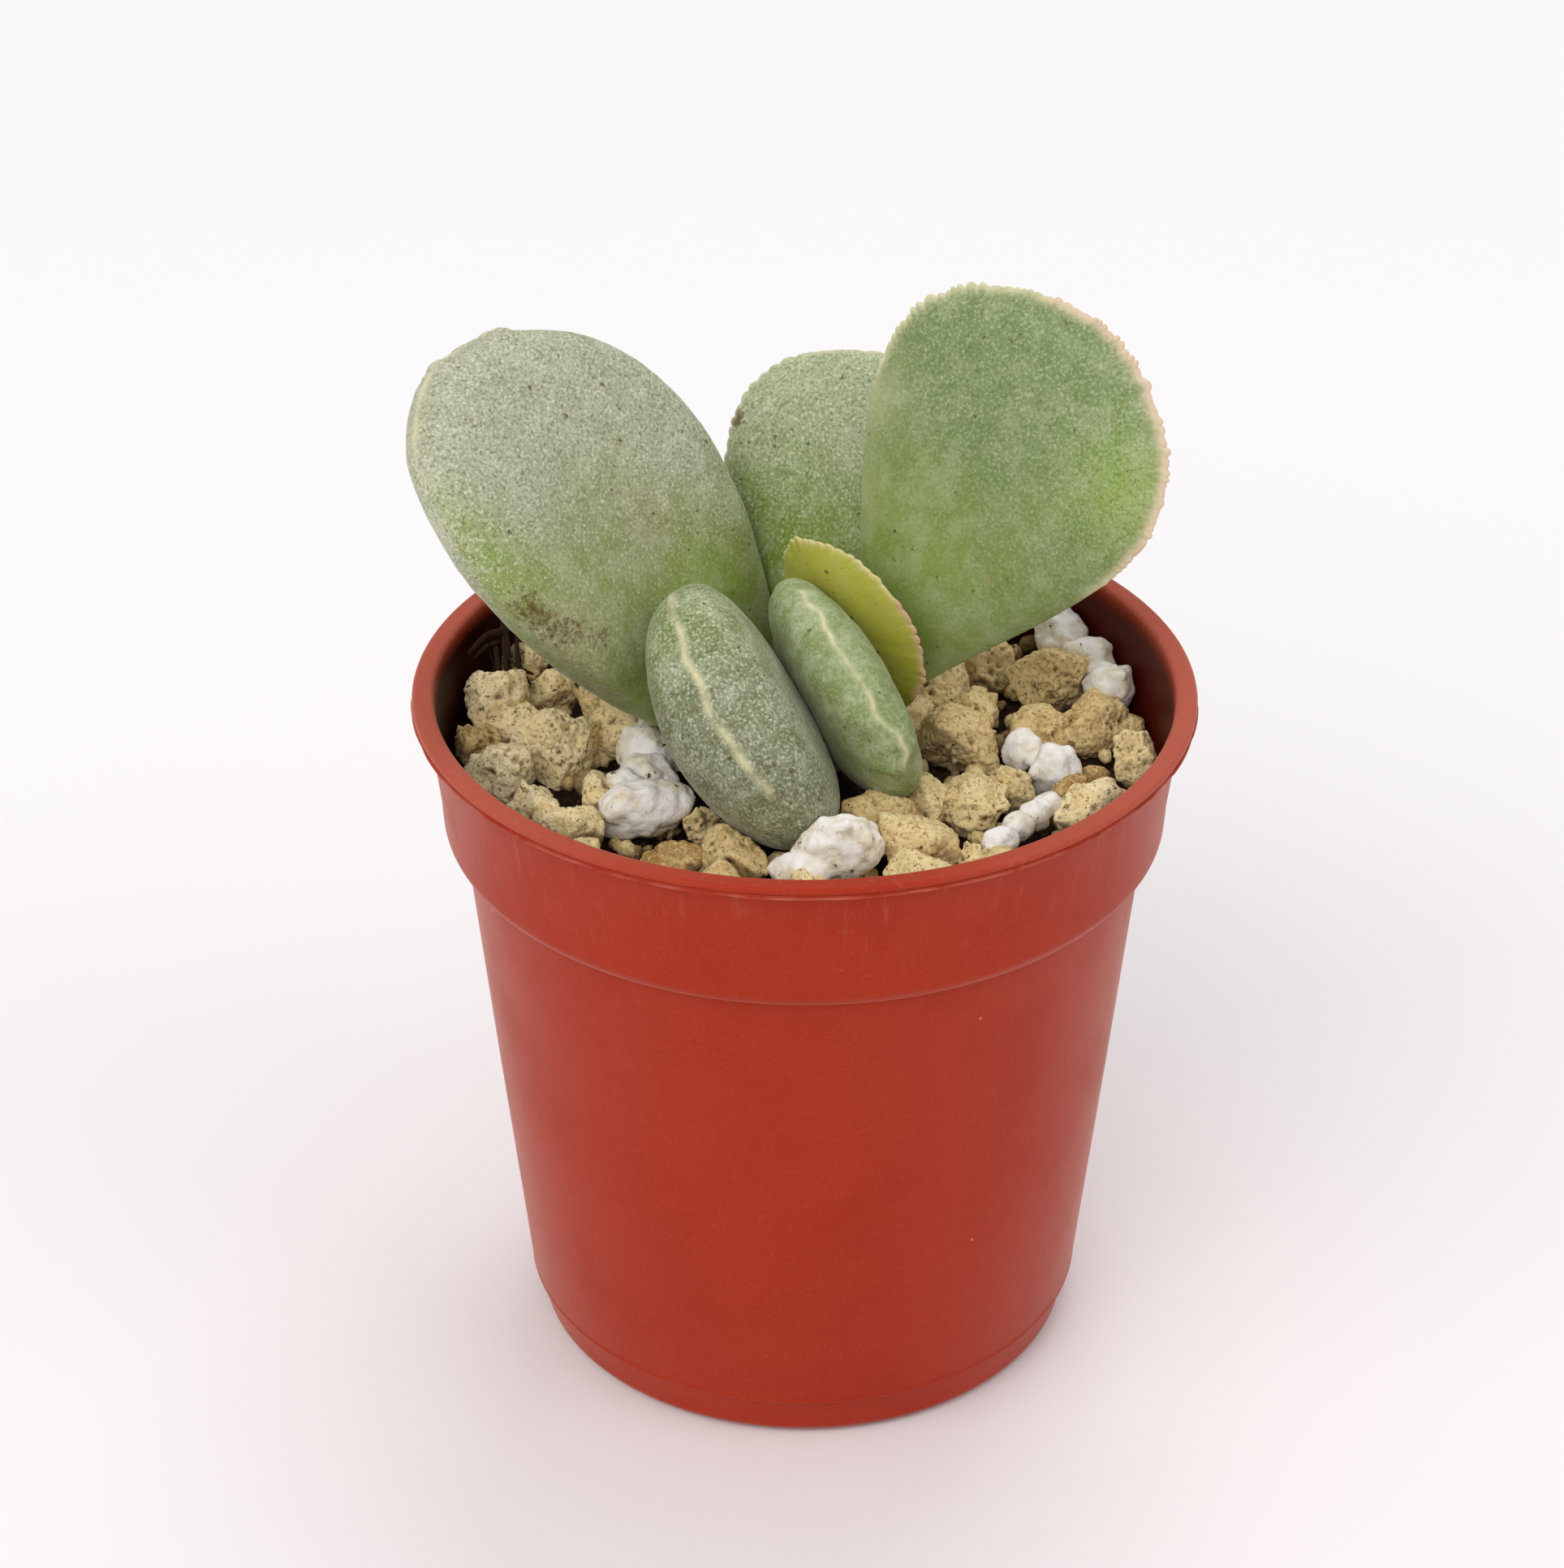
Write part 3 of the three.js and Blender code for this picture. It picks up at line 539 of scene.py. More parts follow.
@dataclass
class Finish:
    """Base of the finishes: a fresh material, the patterns that they share, coats and shader."""

    fleck_stray: ClassVar[float] = 0.35
    fleck_least: ClassVar[float] = 0.05
    fleck_edge: ClassVar[float] = 0.08

    def open(self, name: str) -> tuple[bpy.types.Material, AddNode, Output]:
        """Starts a material.

        Args:
            name: The material's name.

        Returns:
            The material, a function that adds a node to it, and the Object coordinates' output.
        """
        material = bpy.data.materials.new(name)
        material.use_nodes = True
        material.node_tree.nodes.clear()
        node = partial(add_node, material.node_tree)
        place = node("TexCoord", {}, {}).outputs["Object"]
        return material, node, place

    def times(self, node: AddNode, mask: Output, *others: Any) -> Output:
        """Multiplies masks.

        Args:
            node: Adds a node to the material.
            mask: Output of the first mask.
            others: What it is multiplied by, each an output or a number.

        Returns:
            The output with the product.
        """
        for other in others:
            mask = node("Math", {"operation": "MULTIPLY"}, {0: mask, 1: other}).outputs[0]
        return mask

    def patches(self, node: AddNode, place: Output, cloud: Cloud) -> Output:
        """Masks the patches of a cloudy pattern.

        Args:
            node: Adds a node to the material.
            place: Output with the coordinates.
            cloud: The pattern.

        Returns:
            The output of the mask.
        """
        noise = node("TexNoise", {}, {
            "Vector": place, "Scale": per_mm(cloud.size), "Detail": 3.0, "Roughness": 0.6})
        mask = node("MapRange", {"interpolation_type": "SMOOTHSTEP"}, {
            "Value": noise.outputs["Fac"], "From Min": cloud.start, "From Max": cloud.full,
            "To Max": cloud.most})
        return mask.outputs[0]

    def flecks(self, node: AddNode, place: Output, fleck: Fleck) -> Output:
        """Masks ragged flecks, each of its own size and most of them small.

        Args:
            node: Adds a node to the material.
            place: Output with the coordinates.
            fleck: The flecks.

        Returns:
            The output of the mask.
        """
        stray = node("TexNoise", {}, {
            "Vector": place, "Scale": per_mm(self.fleck_stray * fleck.spacing), "Detail": 2.0})
        shift = 2 * fleck.ragged * fleck.spacing * MM
        moved = node("VectorMath", {"operation": "MULTIPLY_ADD"}, {
            0: stray.outputs["Color"], 1: (shift, shift, shift), 2: place})
        cells = node("TexVoronoi", {}, {
            "Vector": moved.outputs[0], "Scale": per_mm(fleck.spacing)})
        chance = node("SeparateColor", {}, {"Color": cells.outputs["Color"]})
        size = node("Math", {"operation": "POWER"}, {0: chance.outputs[0], 1: fleck.rarity})
        reach = node("Math", {"operation": "MULTIPLY_ADD"}, {
            0: size.outputs[0], 1: fleck.largest, 2: -self.fleck_least})
        inside = node("Math", {"operation": "SUBTRACT"}, {
            0: reach.outputs[0], 1: cells.outputs["Distance"]})
        mask = node("MapRange", {"interpolation_type": "SMOOTHSTEP"}, {
            "Value": inside.outputs[0], "From Max": self.fleck_edge})
        return mask.outputs[0]

    def coat(self, node: AddNode, ground: Any, coats: Sequence[tuple[Output, str]]) -> Output:
        """Lays coats of colour over a ground, each as thick as its own mask.

        Args:
            node: Adds a node to the material.
            ground: Hex colour of the ground, or the output with it.
            coats: Mask output and hex colour of each coat.

        Returns:
            The output with the finished colour.
        """
        colour = linear(ground) if isinstance(ground, str) else ground
        for mask, shade in coats:
            mix = node("Mix", {"data_type": "RGBA"}, {0: mask, 6: colour, 7: linear(shade)})
            colour = mix.outputs[2]
        return colour

    def close(
        self, node: AddNode, colour: Any, relief: Output, depth: float, **shader: Any,
    ) -> None:
        """Ends a material in its shader.

        Args:
            node: Adds a node to the material.
            colour: Output with the colour, or one linear colour.
            relief: Output with the height of the surface's relief, 0 to 1.
            depth: Full depth of the relief in millimetres.
            shader: Further sockets of the shader, with underscores for spaces.
        """
        bump = node("Bump", {}, {"Strength": 1.0, "Distance": depth * MM, "Height": relief})
        sockets = {name.replace("_", " "): value for name, value in shader.items()}
        surface = node(
            "BsdfPrincipled", {}, {"Base Color": colour, "Normal": bump.outputs[0], **sockets})
        node("OutputMaterial", {}, {"Surface": surface.outputs[0]})


@dataclass
class MouldedPolypropylene(Finish):
    """Injection-moulded polypropylene, terracotta red: a satin face with a faint orange peel,
    a little cloudy where the melt flowed, rubbed paler in upright streaks round the collar, with
    a few specks of dust, painted shade down the inner wall, darker at the left, and a painted
    pale reflection on the lip's top towards its left and right."""

    name: str = "moulded_polypropylene"
    red: str = "#a42f17"
    cloud: str = "#9c2813"
    rub: str = "#b0523c"
    # Paler colour of the rubbed parting edge, also used for the painted reflection on the lip's top.
    scuff: str = "#d58a74"
    # Painted shade on the inner wall.
    damp: str = "#2e0b06"
    haze: str = "#ffe2cc"
    dust: str = "#e0bda6"
    flow: Cloud = Cloud(7.0, 0.4, 0.7, 0.5)
    mottle: Cloud = Cloud(0.3, 0.5, 0.72, 0.18)
    streaks: Cloud = Cloud(0.7, 0.56, 0.74, 0.45)
    streak_rise: float = 0.12
    collar: Span = (41.5, 49.0)
    specks: Fleck = Fleck(2.4, 0.13, 3.0, 0.05)
    peel_size: float = 0.3
    peel_depth: float = 0.012
    satin: Span = (0.4, 0.5)
    satin_full: float = 0.6
    sheen: float = 0.24

    def make(self) -> bpy.types.Material:
        """Builds the material.

        Returns:
            The material.
        """
        material, node, place = self.open(self.name)
        cloudy = self.patches(node, place, self.flow)
        drawn_out = node("Mapping", {}, {"Vector": place, "Scale": (1, 1, self.streak_rise)})
        height = node("SeparateXYZ", {}, {"Vector": place})
        round_collar = node("MapRange", {"interpolation_type": "SMOOTHSTEP"}, {
            "Value": height.outputs["Z"], "From Min": self.collar[0] * MM,
            "From Max": self.collar[1] * MM})
        streaks = self.times(
            node, self.patches(node, drawn_out.outputs[0], self.streaks), round_collar.outputs[0])
        # The first attribute carries the painted shade of the inner wall, the second the rubbed
        # parting edge and the painted reflection on the lip's top.
        damp, scuffed_and_lit = [
            node("Attribute", {"attribute_name": name}, {}).outputs["Fac"]
            for name in ("damp", "scuff")]
        colour = self.coat(node, self.red, [
            (cloudy, self.cloud), (self.patches(node, place, self.mottle), self.rub),
            (streaks, self.rub), (self.flecks(node, place, self.specks), self.dust),
            (damp, self.damp), (scuffed_and_lit, self.scuff)])
        peel = node("TexNoise", {}, {
            "Vector": place, "Scale": per_mm(self.peel_size), "Detail": 2.0})
        satin = node("MapRange", {}, {
            "Value": cloudy, "From Max": self.satin_full, "To Min": self.satin[0],
            "To Max": self.satin[1]})
        self.close(
            node, colour, peel.outputs["Fac"], self.peel_depth, Roughness=satin.outputs[0],
            IOR=1.49, Specular_IOR_Level=0.1, Sheen_Weight=self.sheen, Sheen_Roughness=0.35,
            Sheen_Tint=linear(self.haze))
        return material


@dataclass
class WaxyLeafSkin(Finish):
    """Succulent leaf skin under a crust of farina: fine whitish grains of wax over green, in
    drifts, the grains and beads of wax painted bright as the farina's glints, with painted shade
    in the gaps between the grains, dark ragged specks, brown stains and a pale horny margin."""

    name: str
    deep: str = "#80992c"
    green: str = "#848e51"
    grey: str = "#a9ab90"
    # Colour of the wax, also used for the painted glints of its grains and beads.
    wax_and_glint: str = "#dfe2cb"
    shade: str = "#555d38"
    speck: str = "#56492b"
    stain: str = "#5b3e20"
    tan: str = "#9c9268"
    horn: str = "#dcd6ac"
    blush: str = "#dfbfa8"
    haze: str = "#eef0e2"
    sheen: float = 0.3
    grain_size: float = 0.24
    grain_depth: float = 0.05
    grain_band: Span = (0.53, 0.64)
    gap_band: Span = (0.47, 0.36)
    # Strength of the painted glints on the grains and of the painted shade in the gaps between them,
    # then the beads, flecks of further painted glints, and their strength.
    wax_glint_share: float = 0.55
    shade_share: float = 0.6
    glint_beads: Fleck = Fleck(0.28, 0.5, 1.4, 0.25)
    glint_bead_share: float = 0.55
    specks: Fleck = Fleck(0.6, 0.36, 4.0)
    speck_share: float = 0.8
    blotches: Cloud = Cloud(2.0, 0.36, 0.72, 0.2)
    stain_size: float = 0.4
    stain_band: Span = (1.0, 1.25)
    stain_share: float = 0.85

    def make(self) -> bpy.types.Material:
        """Builds the material.

        Returns:
            The material.
        """
        material, node, place = self.open(self.name)
        marks = {
            mark: node("Attribute", {"attribute_name": mark.value}, {}).outputs["Fac"]
            for mark in Mark
        }
        bloom = marks[Mark.BLOOM]
        # High values of this noise are painted as glints of wax and low ones as shade in the gaps; it
        # also bumps the skin.
        grain = node("TexNoise", {}, {
            "Vector": place, "Scale": per_mm(self.grain_size), "Detail": 3.0, "Roughness": 0.7})
        grains = node("MapRange", {"interpolation_type": "SMOOTHSTEP"}, {
            "Value": grain.outputs["Fac"], "From Min": self.grain_band[0],
            "From Max": self.grain_band[1], "To Max": self.wax_glint_share})
        gaps = node("MapRange", {"interpolation_type": "SMOOTHSTEP"}, {
            "Value": grain.outputs["Fac"], "From Min": self.gap_band[0],
            "From Max": self.gap_band[1], "To Max": self.shade_share})
        # Beads: flecks of further painted glints of wax.
        glint_beads = self.flecks(node, place, self.glint_beads)
        specks = self.flecks(node, place, self.specks)
        blot = node("TexNoise", {}, {
            "Vector": place, "Scale": per_mm(self.stain_size), "Detail": 4.0, "Roughness": 0.7})
        blotted = node("Math", {"operation": "ADD"}, {
            0: blot.outputs["Fac"], 1: marks[Mark.STAIN]})
        stained = node("MapRange", {"interpolation_type": "SMOOTHSTEP"}, {
            "Value": blotted.outputs[0], "From Min": self.stain_band[0],
            "From Max": self.stain_band[1], "To Max": self.stain_share})
        colour = self.coat(node, self.green, [
            (marks[Mark.GREY], self.grey), (marks[Mark.DEEP], self.deep),
            (marks[Mark.TAN], self.tan), (self.patches(node, place, self.blotches), self.wax_and_glint),
            (self.times(node, gaps.outputs[0], bloom), self.shade),
            (self.times(node, grains.outputs[0], bloom), self.wax_and_glint),
            (self.times(node, glint_beads, bloom, self.glint_bead_share), self.wax_and_glint),
            (self.times(node, specks, self.speck_share), self.speck),
            (stained.outputs[0], self.stain), (marks[Mark.HORN], self.horn),
            (marks[Mark.BLUSH], self.blush)])
        self.close(
            node, colour, grain.outputs["Fac"], self.grain_depth, Roughness=0.5, IOR=1.42,
            Specular_IOR_Level=0.3, Subsurface_Weight=0.12, Subsurface_Radius=(0.8, 1.0, 0.3),
            Subsurface_Scale=0.6 * MM, Sheen_Weight=self.sheen, Sheen_Roughness=0.35,
            Sheen_Tint=linear(self.haze))
        return material


@dataclass
class PorousPumice(Finish):
    """Weathered pumice, broken and sieved: pale tan rock with ochre rust in patches, a painted pale
    highlight on the high points of its grit, painted shade in its low points, painted grey shade on
    its undersides, open pores painted dark as shade, and black mineral flecks."""

    # The palest stop: partly the left stones' own paler colour, partly painted light that makes up
    # for the left leaf's shade over them.
    lit_cream: str = "#fdebc2"
    pale: str = "#f3dca6"
    tan: str = "#d6bc84"
    ochre: str = "#b08244"
    # Painted shade in the low points of the grit.
    recess_shade: str = "#8c6a3e"
    # Painted grey shade on the undersides.
    underside_shade: str = "#a58f7e"
    # Painted shade in the pores and the pits.
    pore_shade_colour: str = "#5e452a"
    mineral: str = "#3b2e22"
    rust_size: float = 2.0
    rust_swing: float = 0.9
    rust_share: float = 0.7
    grit_size: float = 0.3
    # Painted pale highlight on the high points of the grit: the noise values where it starts and is
    # full, and its strength.
    ridge_highlight_band: Span = (0.5, 0.66)
    ridge_highlight_share: float = 0.6
    # Painted shade in the low points of the grit: the noise values where it starts and is full, and
    # its strength.
    recess_shade_band: Span = (0.47, 0.34)
    recess_shade_share: float = 0.75
    # Painted shade on faces turned down: the upward share of the normal where it starts and is full,
    # and its strength.
    underside_shade_band: Span = (0.2, -0.5)
    underside_shade_share: float = 0.45
    minerals: Fleck = Fleck(0.5, 0.4, 3.8, 1.0)
    pits: Fleck = Fleck(0.3, 0.5, 1.8, 1.0)
    pitted: Cloud = Cloud(1.2, 0.51, 0.66)
    relief_depth: float = 0.16

    def make(self) -> bpy.types.Material:
        """Builds the material.

        Returns:
            The material.
        """
        material, node, place = self.open("porous_pumice")
        tone, hollow = [
            node("Attribute", {"attribute_name": name}, {}).outputs["Fac"]
            for name in ("tone", "hollow")]
        rust = node("TexNoise", {}, {
            "Vector": place, "Scale": per_mm(self.rust_size), "Detail": 5.0, "Roughness": 0.65})
        rusty = node("Math", {"operation": "MULTIPLY_ADD"}, {
            0: rust.outputs["Fac"], 1: self.rust_swing, 2: tone})
        ground = node("ValToRGB", {"stops": [
            (0.25, linear(self.lit_cream)), (0.42, linear(self.pale)), (0.75, linear(self.tan)),
            (1.0, linear(self.ochre)),
        ]}, {0: self.times(node, rusty.outputs[0], self.rust_share)})
        # High points of this noise get a painted pale highlight and low points painted shade; it also
        # bumps the surface.
        grit = node("TexNoise", {}, {
            "Vector": place, "Scale": per_mm(self.grit_size), "Detail": 3.0, "Roughness": 0.7})
        # The normal's upward share, for the painted shade on faces turned down.
        facing = node("SeparateXYZ", {}, {
            "Vector": node("NewGeometry", {}, {}).outputs["Normal"]})
        under, dust, dark = [
            node("MapRange", {"interpolation_type": "SMOOTHSTEP"}, {
                "Value": value, "From Min": band[0], "From Max": band[1], "To Max": share})
            for value, band, share in (
                (facing.outputs["Z"], self.underside_shade_band, self.underside_shade_share),
                (grit.outputs["Fac"], self.ridge_highlight_band, self.ridge_highlight_share),
                (grit.outputs["Fac"], self.recess_shade_band, self.recess_shade_share))]
        flecks = self.flecks(node, place, self.minerals)
        # Small pits, sunk in the relief and painted dark as shade.
        pits = self.times(
            node, self.flecks(node, place, self.pits), self.patches(node, place, self.pitted))
        colour = self.coat(node, ground.outputs[0], [
            (under.outputs[0], self.underside_shade), (dust.outputs[0], self.pale),
            # Painted shade in the low points, in the pores and in the pits.
            (dark.outputs[0], self.recess_shade), (hollow, self.pore_shade_colour), (pits, self.pore_shade_colour),
            (flecks, self.mineral)])
        height = node("Math", {"operation": "SUBTRACT"}, {0: grit.outputs["Fac"], 1: flecks})
        height = node("Math", {"operation": "SUBTRACT"}, {0: height.outputs[0], 1: pits})
        self.close(
            node, colour, height.outputs[0], self.relief_depth, Roughness=0.95, IOR=1.5,
            Specular_IOR_Level=0.2)
        return material


@dataclass
class ExpandedPerlite(Finish):
    """Horticultural perlite, popped in a furnace: chalk-white glass froth with a faint lilac cast
    that is painted shade, laid in lilac-grey patches, tiny dark specks and a little dust from the
    mix."""

    white: str = "#f4efea"
    dust: str = "#e0d2b0"
    # Lilac-grey of the painted shade.
    lilac_shade: str = "#a3978c"
    speck: str = "#3b3028"
    froth_size: float = 0.25
    froth_depth: float = 0.04
    dusting: Cloud = Cloud(1.8, 0.44, 0.66, 0.75)
    lilac_shading: Cloud = Cloud(0.9, 0.58, 0.72, 0.4)
    specks: Fleck = Fleck(0.5, 0.5, 2.2, 0.7)
    specked: Cloud = Cloud(1.8, 0.5, 0.62)

    def make(self) -> bpy.types.Material:
        """Builds the material.

        Returns:
            The material.
        """
        material, node, place = self.open("expanded_perlite")
        froth = node("TexVoronoi", {"feature": "SMOOTH_F1"}, {
            "Vector": place, "Scale": per_mm(self.froth_size), "Smoothness": 0.6})
        specks = self.times(
            node, self.flecks(node, place, self.specks), self.patches(node, place, self.specked))
        colour = self.coat(node, self.white, [
            (self.patches(node, place, self.dusting), self.dust),
            # Lilac-grey patches: painted shade, laid at random.
            (self.patches(node, place, self.lilac_shading), self.lilac_shade), (specks, self.speck)])
        self.close(
            node, colour, froth.outputs["Distance"], self.froth_depth, Roughness=0.85, IOR=1.5,
            Specular_IOR_Level=0.3, Subsurface_Weight=0.15, Subsurface_Radius=(1.0, 1.0, 1.0),
            Subsurface_Scale=0.3 * MM)
        return material


@dataclass
class CrumblyPeat(Finish):
    """Peat and compost, damp: nearly black crumbs with brown fibres and pale grit."""

    black: str = "#1a110d"
    brown: str = "#4a3122"
    grit: str = "#8d7449"
    crumb_size: float = 0.5
    crumb_depth: float = 0.15
    grains: Fleck = Fleck(0.9, 0.45, 4.0)

    def make(self) -> bpy.types.Material:
        """Builds the material.

        Returns:
            The material.
        """
        material, node, place = self.open("crumbly_peat")
        crumb = node("TexNoise", {}, {
            "Vector": place, "Scale": per_mm(self.crumb_size), "Detail": 4.0, "Roughness": 0.7})
        ground = node("ValToRGB", {"stops": [
            (0.4, linear(self.black)), (0.75, linear(self.brown))]}, {0: crumb.outputs["Fac"]})
        colour = self.coat(
            node, ground.outputs[0], [(self.flecks(node, place, self.grains), self.grit)])
        self.close(
            node, colour, crumb.outputs["Fac"], self.crumb_depth, Roughness=0.9, IOR=1.4,
            Specular_IOR_Level=0.2)
        return material


@dataclass
class FibrousBark(Finish):
    """Shredded conifer bark: dark brown, split along its fibres, paler on the torn edges."""

    name: str = "fibrous_bark"
    dark: str = "#170e0a"
    brown: str = "#4a3426"
    fibre_size: float = 0.25
    fibre_depth: float = 0.1

    def make(self) -> bpy.types.Material:
        """Builds the material.

        Returns:
            The material.
        """
        material, node, place = self.open(self.name)
        fibre = node("Attribute", {"attribute_name": "fibre"}, {}).outputs["Fac"]
        grain = node("TexNoise", {}, {
            "Vector": place, "Scale": per_mm(self.fibre_size), "Detail": 4.0, "Roughness": 0.7})
        colour = node("ValToRGB", {"stops": [
            (0.1, linear(self.dark)), (0.6, linear(self.brown)),
        ]}, {0: self.times(node, grain.outputs["Fac"], fibre)})
        self.close(
            node, colour.outputs[0], grain.outputs["Fac"], self.fibre_depth, Roughness=0.85,
            IOR=1.45, Specular_IOR_Level=0.1)
        return material


@dataclass
class MattPaper(Finish):
    """Uncoated white paper under the pot: matt, with a fine tooth."""

    white: str = "#f6f3f4"
    tooth_size: float = 0.5
    tooth_depth: float = 0.01

    def make(self) -> bpy.types.Material:
        """Builds the material.

        Returns:
            The material.
        """
        material, node, place = self.open("matt_paper")
        tooth = node("TexNoise", {}, {
            "Vector": place, "Scale": per_mm(self.tooth_size), "Detail": 3.0})
        self.close(
            node, linear(self.white), tooth.outputs["Fac"], self.tooth_depth, Roughness=0.7)
        return material


class Mark(Enum):
    """What a leaf's skin shows in places, each kept as a number per vertex."""

    GREY = "grey"
    DEEP = "deep"
    BLOOM = "bloom"
    STAIN = "stain"
    TAN = "tan"
    HORN = "horn"
    BLUSH = "blush"


class Side(Enum):
    """The two faces of a leaf."""

    UPPER = 1
    LOWER = -1


@dataclass(frozen=True)
class Patch:
    """A soft-edged patch of a mark on one face of a leaf.

    along runs from 0 at the foot to 1 at the tip, across from -1 to 1 between the margins.
    """

    mark: Mark
    side: Side
    along: float
    across: float
    radius: float
    strength: float = 1.0


@dataclass(frozen=True)
class Teeth:
    """Horny lobes of the margin, over a stretch of it from the foot (0) past the tip (0.5)."""

    reach: float
    count: int
    start: float
    end: float
    uneven: float = 0.35


@dataclass(frozen=True)
class Horn:
    """The pale thickened edge of the margin, over a stretch of it."""

    width: float
    height: float
    start: float
    end: float
    strength: float = 1.0
    wander: float = 0.0
    broken: float = 0.3
    blush: Span = (2.0, 2.0)


@dataclass(frozen=True)
class Bloom:
    """How the wax and the green lie along a leaf: wax at the foot and the tip, then the shares
    of the length between which the green gives way to grey. lean slants that towards a margin."""

    foot: float
    tip: float
    green_to: float
    grey_from: float
    lean: float = 0.0
    deepens: float = 0.3


@dataclass
class Leaf:
    """One thick leaf: two swollen faces that meet at a horny margin.

    base is the foot from the crown. heading, rise and roll (degrees) turn its midrib and blade.
    The two outline powers shape the blade from foot to tip, and fullness its two faces. bend, cup
    and skew are shares of its length and width. segments run round the margin, and rings from the
    middle of one face over the margin to the middle of the other, an even number of them.
    """

    name: str
    base: Place
    heading: float
    rise: float
    roll: float
    length: float
    width: float
    thickness: float
    outline: Span
    fullness: float
    bend: float
    cup: float
    skew: float
    foot: float
    teeth: Teeth
    horn: Horn
    bloom: Bloom
    patches: tuple[Patch, ...] = ()
    segments: int = 448
    rings: int = 64
    seed: int = 1
    spine: Span = (0.3, 0.72)
    spine_opens: float = 0.25
    foot_share: float = 0.07
    foot_pinch: float = 0.3
    foot_thickness: float = 0.5
    full_thickness_at: float = 0.42
    face_fall: float = 2.2
    least_rim: float = 0.5
    equator: float = 1e-3
    tooth_depth: float = 0.4
    tooth_bluntness: float = 2.4
    tooth_warp: Relief = Relief(1.0, 2.5)
    tooth_swell: Relief = Relief(0.9, 1.3, 5)
    tooth_least: float = 0.1
    tooth_ease: float = 0.05
    crest: Relief = Relief(1.0, 1.0, 9, 2)
    crest_turns: float = 6.0
    crest_depth: float = 1.2
    humps: Relief = Relief(0.07, 4.5, 0, 3)
    humps_from_margin: float = 3.0
    dimples: Relief = Relief(0.02, 0.7, 13)
    dimples_from_margin: float = 1.0
    clearance: float = 0.12
    drift: Relief = Relief(0.12, 5.0, 3, 3)
    bloom_run: Span = (0.2, 0.8)
    deep_share: float = 0.9
    horn_spread: float = 1.3
    horn_wear: Relief = Relief(1.0, 0.9, 17, 2)
    blush_share: float = 0.8

    def half_width(self, s: np.ndarray) -> np.ndarray:
        """Half width of the blade, foot included.

        Args:
            s: Shares of the length, 0 at the foot and 1 at the tip.

        Returns:
            The half widths in millimetres.
        """
        rise, fall = self.outline
        peak = rise / (rise + fall)
        blade = s ** rise * (1 - s) ** fall / (peak ** rise * (1 - peak) ** fall)
        near = np.sqrt(np.clip(1 - ((self.foot_share - s) / self.foot_share) ** 2, 0, 1))
        start = np.where(s < self.foot_share, near, (1 - s) / (1 - self.foot_share))
        foot = self.foot * start * np.sqrt(1 - s)
        return blade * (self.width / 2 - self.foot_pinch * self.foot) + foot

    def tooth_reach(self, share: np.ndarray) -> np.ndarray:
        """Outward reach of the uneven lobes round the margin.

        Args:
            share: Places on the margin, from the foot (0) past the tip (0.5) to the foot (1).

        Returns:
            The reach in millimetres.
        """
        teeth = self.teeth
        span = np.clip((share - teeth.start) / (teeth.end - teeth.start), 0, 1)
        place = np.stack([span * teeth.count, np.zeros_like(span), np.zeros_like(span)], axis=-1)
        warp = teeth.uneven * self.tooth_warp.at(place, self.seed)
        phase = (span * teeth.count + warp) % 1
        lobe = 1 - np.abs(2 * phase - 1) ** self.tooth_bluntness
        size = np.maximum(1 + self.tooth_swell.at(place, self.seed), self.tooth_least)
        ends = smoothstep(span, 0, self.tooth_ease) * smoothstep(span, 1, 1 - self.tooth_ease)
        return teeth.reach * lobe * size * ends

    def stretch(self, share: np.ndarray, span: Span, ease: float = 0.03) -> np.ndarray:
        """Weight of a stretch of the margin, easing in and out at its ends."""
        return smoothstep(share, span[0], span[0] + ease) * smoothstep(share, span[1], span[1] - ease)

    def basis(self) -> np.ndarray:
        """Works out how the leaf is turned.

        Returns:
            The directions of its across, midrib and facing, one to a row.
        """
        heading, rise, roll = np.radians([self.heading, self.rise, self.roll])
        midrib = np.array([
            math.cos(rise) * math.cos(heading), math.cos(rise) * math.sin(heading), math.sin(rise)])
        level = np.cross(midrib, [0, 0, 1])
        level /= np.linalg.norm(level)
        upright = np.cross(level, midrib)
        across = level * math.cos(roll) + upright * math.sin(roll)
        return np.stack([across, midrib, np.cross(across, midrib)])

    def build(self, neighbours: Sequence[Neighbour]) -> bpy.types.Object:
        """Shapes the leaf from a ball whose equator becomes the margin.

        Args:
            neighbours: Finished pieces that this leaf is pressed clear of.

        Returns:
            The piece, with a number per vertex for each mark.
        """
        slopes = np.linspace(0, math.pi, self.rings + 1)
        piece = lathe(self.name, list(zip(np.sin(slopes), -np.cos(slopes))), self.segments)
        ball = points_of(piece)
        polar = np.arccos(np.clip(ball[:, 2], -1, 1))
        ring = np.sin(polar)
        share = np.arctan2(ball[:, 1], ball[:, 0]) / (2 * math.pi) % 1
        side = np.where(share < 0.5, 1.0, -1.0)
        from_equator = math.pi / 2 - polar
        face = np.where(np.abs(from_equator) < self.equator, 0.0, np.sign(from_equator))
        s = (1 - np.cos(2 * math.pi * share)) / 2
        edge = side * self.half_width(s) * (1 + self.skew * side)
        middle, spread = (self.spine[0] + self.spine[1]) / 2, self.spine[1] - self.spine[0]
        spine_y = self.length * (
            middle + spread * (s - 0.5) * smoothstep(ring / self.spine_opens))
        rim = np.maximum(np.hypot(edge, self.length * s - spine_y), self.least_rim)
        inward = rim * (1 - ring)
        tooth = self.tooth_reach(share) * np.exp(-inward / self.tooth_depth)
        grow = ring + tooth / rim
        x = edge * grow
        y = spine_y + (s * self.length - spine_y) * grow
        along = y / self.length
